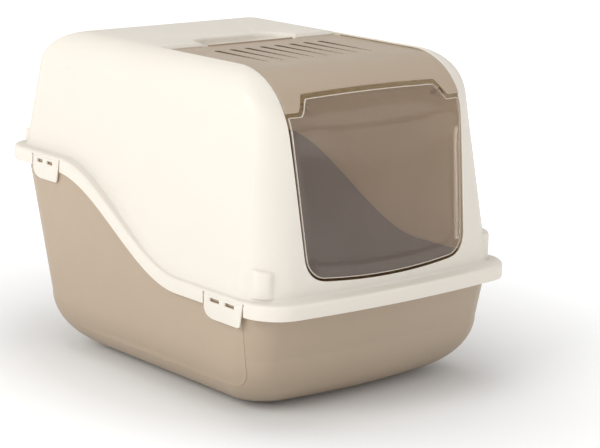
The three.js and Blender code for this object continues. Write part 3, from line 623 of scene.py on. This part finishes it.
def make_hood():
    outer, inner = [whole(h) for h in hood_outer()], [whole(h) for h in hood_inner()]
    hood = stack("hood_shell", inner[::-1] + outer)
    envelope = stack("envelope", outer)
    bead = edge_bead(envelope)
    floor = visor_flat(VISOR["rear"]) - SEAT["drop"]
    wide = SEAT["outer"] + EDGE_GROW
    seat = block("seat", (-wide, wide), (SEAT["start"], SEAT["end"]), (floor - SEAT["thick"], HEIGHT + 1))
    low = HEIGHT - POCKET["depth"] - WALL
    under = prism("under_pocket", pocket_outline(POCKET["wall"]), up_z, low, HEIGHT + 1)
    rails = []
    for side in (-1, 1):
        x = [side * v for v in CHEEK["x"]]
        rails.append(boolean(seat_rail(side), block("cheek", x, CHEEK["y"], CHEEK["z"]), "UNION"))
    second = new_object("envelope_again", envelope.data.copy())
    boolean(hood, boolean(union([seat, under]), envelope, "INTERSECT"), "UNION")
    side = mirrored(opening_outline(EDGE_GROW))
    half = OPENING["high"] + EDGE_GROW
    top = [(half, HEIGHT + CUT_ABOVE), (-half, HEIGHT + CUT_ABOVE)]
    rise = len(opening_outline(0))
    through = prism("through", side[:rise] + top + side[rise:], along_y, -LENGTH, SEAT["start"])
    shelf = block("shelf", (-half, half), (SEAT["start"] - 1, SEAT["floor_end"]), (floor, HEIGHT + CUT_ABOVE))
    boolean(hood, union([through, shelf, pocket_cutter(), roof_chamfer(half)]), "DIFFERENCE")
    boolean(hood, boolean(join(rails), second, "INTERSECT"), "UNION")
    cuts = [axle("pin_hole", VISOR_PIN["r"] + GAP, (s * (CHEEK["x"][0] - 1), s * (CHEEK["x"][1] + 1)))
            for s in (-1, 1)]
    cuts += [clip_slot(s, spec) for s in (-1, 1) for spec in CLIPS.values()]
    boolean(hood, join(cuts), "DIFFERENCE")
    boolean(hood, bead, "UNION")
    return hood


# ---- tray ----
TRAY_PANEL = dict(low=(-206.0, 36.0), high=(420.0, 420.0), r=26.0, depth=1.3, soft=3.5, fade=(88.0, 140.0),
                  side=(120.0, 140.0))
TRAY_LINE = dict(top=122.0, end=140.0, fade=-120.0, r=0.9, sink=0.75, last_sink=0.1)
FLANGE_R, LUG_BEVEL = 0.8, 0.5


def tray_outline(z):
    up = z - TRAY_SHOULDER
    return dict(TRAY, a=TRAY["a"] + TRAY_LEAN["side"] * up, yf=TRAY["yf"] - TRAY_LEAN["front"] * up,
                yr=TRAY["yr"] + TRAY_LEAN["rear"] * up)


def tray_top_half(d, drop):
    low, high = rim_top(SKIRT_OUTLINE["yf"]) - drop, rim_top(SKIRT_OUTLINE["yr"]) - drop
    o = inset(dict(tray_outline(low), yr=tray_outline(high)["yr"], rr=RIM_CORNER), d)
    half = half_outline(o)
    z = rim_top(half[:, 1]) - drop
    half[:, 0] += TRAY_LEAN["side"] * (z - low) * WIDTH_SHARE
    return lift(half, z)


def foot_half(turn, d):
    inwards = FOOT_INSET - (FOOT_INSET - d) * sin(turn)
    corner = lerp(FOOT_CORNER, TRAY["rf"] - d, sin(turn))
    o = dict(a=TRAY["a"] - inwards, yf=TRAY["yf"] + inwards, yr=TRAY["yr"] - inwards, rf=corner, rr=corner,
             bow=TRAY["bow"])
    half = half_outline(o, False)
    return lift(half, TRAY_SHOULDER - (TRAY_SHOULDER - d) * cos(turn))


def sink_tray_panel(half, turn):
    p = TRAY_PANEL
    y, z = half[:, 1], half[:, 2]
    inside = ease(rounded_box(y, z, p["low"], p["high"], p["r"]) / p["soft"])
    inside = inside * (1 - ease_between(y, *p["fade"])) * ease_between(half[:, 0], *p["side"])
    half = half.copy()
    half[:, 0] -= p["depth"] * inside * sin(turn)
    half[:, 2] += p["depth"] * inside * cos(turn)
    return half


def make_tray():
    flange = inset(SKIRT_OUTLINE, WIDTH / 2 - FLANGE)

    def flange_loop(grow, drop):
        half = half_outline(inset(flange, -grow))
        return lift(half, rim_top(half[:, 1]) - drop)
    turns = np.concatenate([np.linspace(0, 0.35, 5), np.linspace(0.35, pi / 2, 40)[1:]])
    outer = [sink_tray_panel(foot_half(t, 0), t) for t in turns]
    top = tray_top_half(0, WALL)
    shoulder = foot_half(pi / 2, 0)
    outer += [sink_tray_panel(lerp(shoulder, top, k / 30), pi / 2) for k in range(1, 30)]
    outer += [top] + [flange_loop(FLANGE_R * sin(t) - FLANGE_R, WALL / 2 + WALL / 2 * cos(t))
                      for t in np.linspace(0, pi, 9)]
    inner_top = tray_top_half(WALL, 0)
    inner = [lerp(inner_top, foot_half(pi / 2, WALL), k / 10) for k in range(11)]
    inner += [foot_half(t, WALL) for t in turns[::-2]]
    tray = stack("tray_shell", [whole(h) for h in outer + inner])
    boolean(tray, join(panel_line(tray)), "DIFFERENCE")
    return boolean(tray, join(tray_lugs()), "UNION")


def panel_line(tray):
    """Cutters for the groove along the front and the foot of the tray's side panels."""
    (y, z), r, line = TRAY_PANEL["low"], TRAY_PANEL["r"], TRAY_LINE
    points = [(y, at) for at in np.linspace(line["top"], z + r, 16)[:-1]]
    points += [(y + r - r * cos(t), z + r - r * sin(t)) for t in quarter(15)]
    points += [(at, z) for at in np.linspace(y + r, line["end"], 40)[1:]]
    sinks = [line["sink"] * lerp(1, line["last_sink"], ease_between(at, line["fade"], line["end"]))
             for at, _ in points]
    return side_line(tray, points, line["r"], sinks)


def tray_lugs():
    """The stubs that stand in the clips' windows."""
    lugs = []
    for side in (-1, 1):
        for spec in CLIPS.values():
            top = clip_top(spec)
            for low, high in spec["windows"]:
                z = (top + CLIP["sill"] + LUG["inset"], top + CLIP["top"] + LUG["rise"])
                y = (low + LUG["inset"], high - LUG["inset"])
                lug = block("lug", (side * LUG["root"], side * LUG["out"]), y, z)
                bevel(lug, LUG_BEVEL, 2)
                lugs.append(lug)
    return lugs


# ---- clips ----
CLIP_BEVEL, CLIP_TOP_GAP, WINDOW_CORNER = 0.7, 0.05, 0.9


def window_ring(y, z, r):
    """A rectangle with rounded corners."""
    corners = ((y[0], z[0], 1, 1), (y[1], z[0], -1, 1), (y[1], z[1], -1, -1), (y[0], z[1], 1, -1))
    ring = []
    for k, (cy, cz, sy, sz) in enumerate(corners):
        ends = [(cy, cz + sz * r), (cy + sy * r, cz)]
        first, last = ends if k % 2 == 0 else reversed(ends)
        ring += [first] + bezier([first, (cy, cz), last], 4)
    return ring


def make_clip(side, spec):
    top, y = clip_top(spec), spec["y"]
    bottom = skirt_bottom(sum(y) / 2) - spec["drop"]
    low, r = y[0] + CLIP["taper"], CLIP["corner"]
    shape = [(low + r, bottom), (y[1] - CLIP["sweep"], bottom)]
    shape += bezier([(y[1] - CLIP["sweep"], bottom), (y[1] - CLIP["toe"], bottom),
                     (y[1], bottom + CLIP["sweep_rise"])], 10)
    shape += [(y[1], top - CLIP_TOP_GAP), (y[0], top - CLIP_TOP_GAP), (low, bottom + r)]
    shape += bezier([(low, bottom + r), (low, bottom), (low + r, bottom)], 8)[:-1]
    x = (side * (WIDTH / 2 - CLIP["thick"]), side * WIDTH / 2)
    clip = prism("clip", shape, along_x, *sorted(x))
    bevel(clip, CLIP_BEVEL)
    z = (top + CLIP["sill"], top + CLIP["top"])
    across = sorted((x[0] - side, x[1] + side))
    rings = [window_ring(ends, z, WINDOW_CORNER) for ends in spec["windows"]]
    windows = [prism("window", ring, along_x, *across) for ring in rings]
    return boolean(clip, join(windows), "DIFFERENCE")


# ---- visor ----
def shown_bow(x):
    return HOOD["bow"] * (VISOR["half"] ** 2 - x ** 2) / VISOR["bow_half"] ** 2


ROLL_Z = VISOR["top"] - VISOR["roll"]
# The visor's columns lie closer between EAR_COLUMNS, and FLAT_FRONT is its flat's last row.
EAR_COLUMNS, FLAT_FRONT = (98.0, 120.0), -132.0
VISOR_BEVEL = 0.7
VENT_CUT = dict(draft=3.0, land=0.5, above=1.0, below=0.9)
FINGER_LIP = dict(half=66.0, short=0.2, thick=1.8, sunk=1.5, rise=1.7, bevel=0.5)


def visor_edge(x):
    x = abs(x)
    middle = lerp(VISOR["edge"], VISOR["edge_corner"], (min(x, VISOR["ear_in"]) / VISOR["ear_in"]) ** 2)
    return lerp(middle, VISOR["ear"], ease_between(x, VISOR["ear_in"], VISOR["ear_out"]))


def roll_point(x, turn, depth):
    r = VISOR["roll"] - depth
    y = VISOR["roll_y"] - r * cos(turn) - shown_bow(x) * cos(turn)
    return (x, y, ROLL_Z + r * sin(turn))


def visor_grid(depth):
    first, last = EAR_COLUMNS
    spans = ((0, first - 2, 17), (first, last, 16), (last + 2.5, VISOR["half"], 5))
    right = [x for span in spans for x in np.linspace(*span)]
    xs = [-x for x in right[:0:-1]] + right
    rows = [[(x, y, visor_flat(y) - depth) for x in xs] for y in np.linspace(VISOR["rear"], FLAT_FRONT, 22)]
    ends = [asin((visor_edge(x) - ROLL_Z) / VISOR["roll"]) for x in xs]
    for t in np.linspace(0, 1, 40):
        rows.append([roll_point(x, lerp(pi / 2, end, t), depth) for x, end in zip(xs, ends)])
    return np.array(rows)


def vent(x):
    """One slot, widest at the rear, with round ends and a draft that opens it underneath."""
    def loop(grow, rise):
        ring = []
        for y, r, start in ((VENTS["front"], VENTS["front_width"] / 2, pi),
                            (VENTS["rear"] - VENTS["rear_width"], VENTS["rear_width"] / 2, 0)):
            ring += [(x + (r + grow) * cos(t), y + r + (r + grow) * sin(t))
                     for t in np.linspace(start, start + pi, 9)]
        ring = np.array(ring)
        return lift(ring, np.array([visor_flat(y) for y in ring[:, 1]]) + rise)
    return stack("vent", [loop(VENT_CUT["draft"], -WALL - VENT_CUT["below"]), loop(0, -VENT_CUT["land"]),
                          loop(0, VENT_CUT["above"])])


def finger_lip():
    """The low lip over the finger recess, at the visor's rear edge."""
    spec, y, z = FINGER_LIP, VISOR["rear"] - FINGER_LIP["short"], visor_flat(VISOR["rear"])
    half, heights = spec["half"], (z - spec["sunk"], z + spec["rise"])
    lip = block("lip", (-half, half), (y - spec["thick"], y), heights)
    bevel(lip, spec["bevel"])
    return lip


def make_visor():
    visor = sheet("visor_shell", visor_grid(0), visor_grid(WALL))
    bevel(visor, VISOR_BEVEL)
    vents = [vent((k - (VENTS["count"] - 1) / 2) * VENTS["pitch"]) for k in range(VENTS["count"])]
    boolean(visor, join(vents), "DIFFERENCE")
    boolean(visor, finger_lip(), "UNION")
    for side in (-1, 1):
        x = (side * BOSS["start"], side * BOSS["end"])
        boss = axle("boss", BOSS["r"], x)
        boolean(boss, block("rib", x, BOSS["rib"], (AXIS["z"], BOSS["rib_top"])), "UNION")
        boolean(visor, boss, "UNION")
        outer_hole = (side * (VISOR_PIN["start"] - GAP), side * VISOR_PIN["end"])
        inner_hole = (side * DOOR_PIN["start"], side * (DOOR_PIN["end"] + GAP))
        holes = [axle("hole", pin["r"] + GAP, x)
                 for pin, x in ((VISOR_PIN, outer_hole), (DOOR_PIN, inner_hole))]
        boolean(visor, join(holes), "DIFFERENCE")
    return visor


# ---- swing door ----
# The top edge is drawn closely as far in as CURL_END, where its curl has ended.
SHOULDER_R, CURL_END = 2.0, 92.0
RIM_ROUND, RIM_ARC, RIM_LAP, LUG_ROUND = 0.6, 4, 0.3, 0.6


def door_point(x, z, depth):
    tilt = atan(FRONT["lean"])
    join_z = ROLL_Z + VISOR["roll"] * sin(tilt)
    if z >= join_z:
        return roll_point(x, asin((z - ROLL_Z) / VISOR["roll"]), depth)
    at = roll_point(x, tilt, depth)
    return (x, at[1] + FRONT["lean"] * (z - join_z), at[2] + z - join_z)


def door_dish(x, z):
    """How far the pane is sunk behind its rim."""
    from_side = opening_half(z) - DOOR["gap"] - abs(x)
    level = max(0.0, 1 - (x / (OPENING["low"] - DOOR["gap"] - DOOR["corner"])) ** 2)
    from_foot = z - OPENING["bottom"] - DOOR["gap"] - OPENING["sag"] * (1 - level)
    to_corner = hypot(max(0.0, DOOR["corner"] - from_side), max(0.0, DOOR["corner"] - from_foot))
    from_edge = min(DOOR["corner"] - to_corner, DOOR["band"] + DOOR["rim"])
    share = min(1.0, max(0.0, from_edge - DOOR["rim"]) / DOOR["band"])
    return DOOR["dish"] * (1 - (1 - share) ** 2) * float(ease_between(z, *DOOR["fade"][::-1]))


def door_top(x):
    past = abs(x) + DOOR["ear_gap"] - VISOR["ear_in"]
    middle = visor_edge(min(abs(x), VISOR["ear_in"])) - DOOR["top_gap"]
    return lerp(middle, DOOR["shoulder"], ease(past / (VISOR["ear_out"] - VISOR["ear_in"])))


def door_outline():
    """The right half of the door's outline, from the middle of its foot to the middle of its top."""
    half = OPENING["low"] - DOOR["gap"]
    level, foot = half - DOOR["corner"], OPENING["bottom"] + DOOR["gap"]
    points = [(x, foot + OPENING["sag"] * (x / level) ** 2) for x in np.linspace(0, level, 24)]
    r = DOOR["corner"]
    points += [(level + r * sin(t), foot + OPENING["sag"] + r * (1 - cos(t)))
               for t in quarter(15)[1:]]
    top_x = OPENING["high"] - DOOR["top_side"]
    shoulder, r = DOOR["shoulder"], SHOULDER_R
    up = np.linspace(points[-1][1], shoulder - r, 44)[1:]
    points += [(min(opening_half(z) - DOOR["gap"], top_x), z) for z in up]
    points += bezier([points[-1], (top_x, shoulder), (top_x - r, shoulder)], 5)
    over = list(np.linspace(top_x - r, CURL_END, 34)[1:]) + list(np.linspace(CURL_END, 0, 22)[1:])
    points += [(x, float(door_top(x))) for x in over]
    return points


def door_loop(outline, inwards, depth, dish=True):
    """The door's outline moved in along its own plane by inwards, on the face at depth."""
    count = len(outline)
    out = []
    for k, (x, z) in enumerate(outline):
        tangent = heading(outline[k - 1], outline[(k + 1) % count])
        x, z = x - inwards * tangent[1], z + inwards * tangent[0]
        out.append(door_point(x, z, depth + (door_dish(x, z) if dish else 0)))
    return np.array(out)


def shrunk_loop(outline, t, depth):
    cz = 0.5 * (OPENING["bottom"] + VISOR["edge"])
    out = []
    for x, z in outline:
        x, z = x * (1 - t), lerp(z, cz, t)
        out.append(door_point(x, z, depth + door_dish(x, z)))
    return np.array(out)


def make_door_lugs():
    """The two eyes that the door hangs on."""
    lugs = []
    reach = (DOOR_LUG["x"][0] - 1, DOOR_LUG["x"][1] + 1)
    for side in (-1, 1):
        lug = block("lug", [side * v for v in DOOR_LUG["x"]], DOOR_LUG["y"], DOOR_LUG["z"])
        bevel(lug, LUG_ROUND)
        eye = axle("eye", DOOR_PIN["r"] + GAP, [side * v for v in reach])
        lugs.append(boolean(lug, eye, "DIFFERENCE"))
    lugs = join(lugs)
    dress(lugs, SMOKE)
    return lugs


def make_door():
    outline = mirrored(door_outline())[:-1]
    front, back, r = DOOR["inset"], DOOR["inset"] + DOOR["thick"], RIM_ROUND
    shrinks = [0.022, 0.034, 0.048, 0.062, 0.078, 0.095, 0.115, 0.138, 0.17, 0.25, 0.4, 0.6, 0.8, 0.95]
    loops = [shrunk_loop(outline, t, back) for t in reversed(shrinks)]
    turns = quarter(RIM_ARC - 1)
    for face, sign, arc in ((back, -1, turns), (front, 1, turns[::-1])):
        loops += [door_loop(outline, r * (1 - sin(t)), face + sign * r * (1 - cos(t)), False)
                  for t in arc]
    loops.append(door_loop(outline, DOOR["rim"] - RIM_LAP, front, False))
    loops += [shrunk_loop(outline, t, front) for t in shrinks]
    door = stack("door_pane", loops)
    # The rows of the rounded edge take a paler, more opaque copy of the smoke plastic: a painted highlight
    # along the door's rim.
    dress(door, SMOKE, SMOKE_PAINTED_RIM_HIGHLIGHT)
    row = np.arange(len(door.data.polygons)) // len(outline)
    painted_highlight_rows = (row >= len(shrinks)) & (row < len(shrinks) + 2 * RIM_ARC)
    door.data.polygons.foreach_set("material_index", painted_highlight_rows.astype(np.int32))
    return door


# ---- pins and filter ----
PIN_CHAMFER = 0.35
PAD = dict(corner=8.0, pull=1.8, wave=0.25, wave_x=0.13, wave_y=0.17)


def make_pin(side, spec):
    x0, x1, r, c = side * spec["start"], side * spec["end"], spec["r"], PIN_CHAMFER
    turns = np.linspace(0, 2 * pi, 33)[:-1]
    profile = [(x0, r - c), (x0 + side * c, r), (x1 - side * c, r), (x1, r - c)]
    return stack("pin", [np.array([(x, AXIS["y"] + at * cos(t), AXIS["z"] + at * sin(t))
                                  for t in turns]) for x, at in profile])


def make_filter():
    """A needled pad: soft edges, and a surface that isn't quite level."""
    top = visor_flat(FILTER["y"][1]) - WALL - GAP
    half, (y0, y1), thick, r = FILTER["half"], FILTER["y"], FILTER["thick"], PAD["corner"]
    loops = []
    for level in np.linspace(0, 1, 9):
        turn = (level - 0.5) * pi
        pull = PAD["pull"] * (1 - cos(turn))
        z = top - thick / 2 + thick / 2 * sin(turn)
        ring = []
        for cx, cy, start in ((1, 1, 0), (-1, 1, 1), (-1, -1, 2), (1, -1, 3)):
            centre = (cx * (half - r), (y0 + y1) / 2 + cy * ((y1 - y0) / 2 - r))
            ring += [(centre[0] + (r - pull) * cos(t), centre[1] + (r - pull) * sin(t), z)
                     for t in np.linspace(start, start + 1, 8) * pi / 2]
        loops.append(np.array(ring))
    middle = np.array([0, (y0 + y1) / 2, 0])
    for end, sign in ((0, -1), (-1, 1)):
        edge = loops[end]
        rings = [middle + (edge - middle) * (s, s, 1) for s in (0.85, 0.6, 0.35, 0.15)]
        for ring in rings:
            wave = 1 + np.sin(ring[:, 0] * PAD["wave_x"]) * np.cos(ring[:, 1] * PAD["wave_y"])
            ring[:, 2] -= sign * PAD["wave"] * wave
        loops = rings[::-1] + loops if sign < 0 else loops + rings
    return stack("filter_pad", loops)


# ---- materials ----
def new_material(name):
    material = bpy.data.materials.new(name)
    material.use_nodes = True
    tree = material.node_tree
    return material, tree, tree.nodes["Principled BSDF"]


def shader_node(tree, kind, **constants):
    """A shader node with these constants on its sockets."""
    made = tree.nodes.new("ShaderNode" + kind)
    for socket, value in constants.items():
        made.inputs[socket].default_value = value
    return made


def wire(source, target, socket):
    """Links an output to a node's socket."""
    source.id_data.links.new(source, target.inputs[socket])


def surface(tree, first, second, share):
    """Mixes two shaders into the surface, share of the second."""
    mixed = shader_node(tree, "MixShader", Fac=share)
    wire(first.outputs["BSDF"], mixed, 1)
    wire(second.outputs["BSDF"], mixed, 2)
    wire(mixed.outputs["Shader"], tree.nodes["Material Output"], "Surface")


def grey(level):
    return (level, level, level)


def spot(tree, stretch=None):
    """The place on the object, stretched along its axes."""
    source = shader_node(tree, "TexCoord").outputs["Object"]
    if stretch:
        mapping = shader_node(tree, "Mapping", Scale=stretch)
        wire(source, mapping, "Vector")
        source = mapping.outputs["Vector"]
    return source


def noise(tree, scale, detail=3.0, rough=0.5, stretch=None):
    made = shader_node(tree, "TexNoise", Scale=scale, Detail=detail, Roughness=rough)
    wire(spot(tree, stretch), made, "Vector")
    return made.outputs["Fac"]


def ramp(tree, source, low, high, at=(0.3, 0.7)):
    made = shader_node(tree, "ValToRGB")
    for element, place, colour in zip(made.color_ramp.elements, at, (low, high)):
        element.position = place
        element.color = (*colour, 1.0)
    wire(source, made, "Fac")
    return made.outputs["Color"]


def bump(tree, height, distance, strength, normal=None):
    made = shader_node(tree, "Bump", Strength=strength, Distance=distance)
    wire(height, made, "Height")
    if normal:
        wire(normal, made, "Normal")
    return made.outputs["Normal"]


def scuffs(tree, base, worn):
    """Fine scratches that run along the piece, only in patches."""
    scratches = noise(tree, scale=420.0, detail=2.0, stretch=(1.0, 0.04, 1.0))
    lines = ramp(tree, scratches, grey(0), grey(1), at=(0.66, 0.72))
    patch = ramp(tree, noise(tree, scale=5.0, detail=2.0), grey(0), grey(0.35), at=(0.5, 0.65))
    both = shader_node(tree, "Mix", Factor=1.0)
    both.data_type = "RGBA"
    both.blend_type = "MULTIPLY"
    wire(lines, both, "A")
    wire(patch, both, "B")
    out = shader_node(tree, "Mix")
    out.data_type = "RGBA"
    wire(both.outputs["Result"], out, "Factor")
    wire(base, out, "A")
    out.inputs["B"].default_value = (*worn, 1.0)
    return out.outputs["Result"]


def moulded_plastic(name, light, dark, roughness, glow=0.0, through_light=None, through_dark=None):
    """Injection-moulded plastic: faint flow clouding, a fine eroded grain, uneven gloss and slight wear."""
    material, tree, shader = new_material(name)
    tint = ramp(tree, noise(tree, scale=7.0, detail=4.0), dark, light)
    tint = scuffs(tree, tint, tuple(0.985 * v for v in light))
    wire(tint, shader, "Base Color")
    uneven = noise(tree, scale=30.0, detail=5.0, rough=0.6)
    gloss = ramp(tree, uneven, grey(roughness - 0.05), grey(roughness + 0.07))
    gloss = scuffs(tree, gloss, grey(roughness + 0.05))
    wire(gloss, shader, "Roughness")
    sink = bump(tree, noise(tree, scale=9.0, detail=1.0), distance=0.0007, strength=0.2)
    grain = bump(tree, noise(tree, scale=1500.0, detail=1.0), distance=0.00004, strength=0.35, normal=sink)
    wire(grain, shader, "Normal")
    shader.inputs["IOR"].default_value = 1.49
    if glow:
        through = shader_node(tree, "BsdfTranslucent")
        deep = ramp(tree, noise(tree, scale=7.0, detail=4.0), through_dark, through_light)
        wire(deep, through, "Color")
        surface(tree, shader, through, glow)
    return material


def smoke_plastic(name, through, tint, share):
    """Clear brown-tinted plastic, thin enough that it doesn't bend what is behind it."""
    material, tree, shader = new_material(name)
    cloud = noise(tree, scale=6.0)
    wire(ramp(tree, cloud, tuple(0.9 * v for v in tint), tint), shader, "Base Color")
    smear = noise(tree, scale=18.0, detail=4.0, rough=0.6, stretch=(1.0, 1.0, 0.3))
    wire(ramp(tree, smear, grey(0.07), grey(0.14)), shader, "Roughness")
    wave = bump(tree, noise(tree, scale=11.0, detail=1.0), distance=0.0012, strength=0.25)
    wire(wave, shader, "Normal")
    shader.inputs["IOR"].default_value = 2.2
    clear = shader_node(tree, "BsdfTransparent")
    wire(ramp(tree, cloud, tuple(0.97 * v for v in through), through), clear, "Color")
    surface(tree, clear, shader, share)
    return material


def carbon_fleece(name):
    """Black needled fleece of the filter pad."""
    material, tree, shader = new_material(name)
    fibre = noise(tree, scale=700.0, detail=6.0, rough=0.7)
    wire(ramp(tree, fibre, (0.006, 0.006, 0.007), (0.05, 0.05, 0.052)), shader, "Base Color")
    clump = noise(tree, scale=60.0)
    wire(ramp(tree, clump, grey(0.88), grey(1.0)), shader, "Roughness")
    soft = bump(tree, clump, distance=0.0015, strength=0.6)
    wire(bump(tree, fibre, distance=0.0010, strength=0.8, normal=soft), shader, "Normal")
    shader.inputs["Sheen Weight"].default_value = 0.2
    return material


WHITE = moulded_plastic("white_polypropylene", light=(0.88, 0.86, 0.81), dark=(0.87, 0.845, 0.79),
                        roughness=0.38, glow=0.32, through_light=(0.90, 0.78, 0.60),
                        through_dark=(0.87, 0.75, 0.57))
BEIGE = moulded_plastic("beige_polypropylene", light=(0.385, 0.302, 0.222), dark=(0.37, 0.29, 0.212),
                        roughness=0.40)
PIN_BEIGE = moulded_plastic("beige_acetal", light=(0.36, 0.28, 0.21), dark=(0.33, 0.26, 0.19),
                            roughness=0.32)
SMOKE = smoke_plastic("smoke_polystyrene", through=(0.97, 0.90, 0.81), tint=(0.27, 0.245, 0.245), share=0.20)
# A paler, more opaque copy of the smoke plastic for the door's rounded edge: a painted highlight along its
# rim.
SMOKE_PAINTED_RIM_HIGHLIGHT = smoke_plastic("smoke_polystyrene_painted_rim_highlight", through=(0.8, 0.76, 0.7), tint=(0.62, 0.56, 0.48),
                           share=0.75)
FLEECE = carbon_fleece("carbon_fleece")


def dress(obj, *materials):
    obj.data.materials.clear()
    for material in materials:
        obj.data.materials.append(material)


# ---- camera, light and floor, in metres, degrees and watts ----
CAMERA = dict(place=(-1.63366, -1.97225, 0.77048), turn=(-40.852, 13.255, 1.68), sensor=36.0, lens=127.86,
              sight=200.0)
LIGHTS = {
    "key_left": dict(place=(-2.6, -0.2, 1.5), size=(1.6, 1.6), watts=44, colour=(0.98, 0.98, 0.95)),
    "top": dict(place=(0.1, 0.2, 2.6), size=(2.0, 2.0), watts=16),
    "front": dict(place=(1.9, -2.3, 1.3), size=(1.2, 1.2), watts=3),
    "strip": dict(place=(0.8, -3.0, 0.6), size=(0.24, 1.0), watts=8, aim=(0, 0, 0.25)),
}
WORLD_STRENGTH = 0.70
# The floor gives off more light further out, so that it fades into the white.
FLOOR = dict(half=90, grey=0.80, roughness=0.9, oval=(1.3, 1.0, 1.0),
             glow={"From Min": 0.33, "From Max": 1.1, "To Min": 0.0, "To Max": 0.6})


def camera():
    data = bpy.data.cameras.new("camera")
    data.sensor_width = CAMERA["sensor"]
    data.lens = CAMERA["lens"]
    data.clip_end = CAMERA["sight"]
    obj = new_object("camera", data)
    azimuth, elevation, roll = [radians(v) for v in CAMERA["turn"]]
    back = Vector((sin(azimuth) * cos(elevation), -cos(azimuth) * cos(elevation),
                   sin(elevation)))
    obj.location = CAMERA["place"]
    obj.rotation_mode = "QUATERNION"
    obj.rotation_quaternion = (-back).to_track_quat("-Z", "Y") @ Quaternion((0, 0, 1), roll)
    bpy.context.scene.camera = obj


def area_light(name, place, size, watts, aim=(0, 0, 0.2), colour=(1, 1, 1)):
    data = bpy.data.lights.new(name, "AREA")
    data.shape = "RECTANGLE"
    data.size, data.size_y = size
    data.energy = watts
    data.color = colour
    obj = new_object(name, data)
    obj.location = place
    obj.rotation_euler = (Vector(aim) - Vector(place)).to_track_quat("-Z", "Y").to_euler()


def floor_paper():
    """White paper that brightens away from the box."""
    material, tree, shader = new_material("floor_paper")
    shader.inputs["Base Color"].default_value = (*grey(FLOOR["grey"]), 1)
    shader.inputs["Roughness"].default_value = FLOOR["roughness"]
    shader.inputs["Emission Color"].default_value = (1, 1, 1, 1)
    reach = shader_node(tree, "VectorMath")
    reach.operation = "LENGTH"
    wire(spot(tree, FLOOR["oval"]), reach, 0)
    far = shader_node(tree, "MapRange", **FLOOR["glow"])
    wire(reach.outputs["Value"], far, "Value")
    wire(far.outputs["Result"], shader, "Emission Strength")
    return material


def studio():
    floor, half = bpy.data.meshes.new("floor"), FLOOR["half"]
    corners = [(-half, -half, 0), (half, -half, 0), (half, half, 0), (-half, half, 0)]
    floor.from_pydata(corners, [], [(0, 1, 2, 3)])
    ground = new_object("floor", floor)
    dress(ground, floor_paper())
    world = bpy.data.worlds.new("world")
    world.use_nodes = True
    background = world.node_tree.nodes["Background"]
    background.inputs["Color"].default_value = (1, 1, 1, 1)
    background.inputs["Strength"].default_value = WORLD_STRENGTH
    bpy.context.scene.world = world
    for name, spec in LIGHTS.items():
        area_light(name, **spec)
    bpy.context.scene.view_settings.view_transform = "Standard"


# ---- the object ----
def place(piece, name, angle, body, slot, node=None, material=None):
    smooth(piece, angle)
    piece.name = name
    piece.data.name = name
    if material:
        dress(piece, material)
    if node:
        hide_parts(node)
    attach(piece, body)


camera()
studio()

place(make_hood(), "hood_shell", 32, "hood", "hood_white", "hood", WHITE)
place(make_tray(), "tray_shell", 32, "tray", "tray_beige", "litter_tray", BEIGE)
for where, spec in CLIPS.items():
    for hand, side in (("left", -1), ("right", 1)):
        body = "clip_%s_%s" % (where, hand)
        place(make_clip(side, spec), body + "_flap", 40, body, "hood_white", body, WHITE)
place(make_visor(), "visor_shell", 40, "visor", "tray_beige", "top_visor", BEIGE)
place(make_door(), "door_pane", 40, "door", "door_smoke", "swing_door")
place(make_door_lugs(), "door_lugs", 40, "door", "door_smoke", "swing_door")
for hand, side in (("left", -1), ("right", 1)):
    for kind, spec, body in (("visor", VISOR_PIN, "visor"), ("door", DOOR_PIN, "door")):
        pin = "%s_pin_%s" % (kind, hand)
        place(make_pin(side, spec), pin + "_turned", 40, body, "pin_beige", pin, PIN_BEIGE)
pad = make_filter()
place(pad, "filter_pad", 60, "visor", "filter_black", "carbon_filter", FLEECE)
dress(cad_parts["filter_cover"], BEIGE)
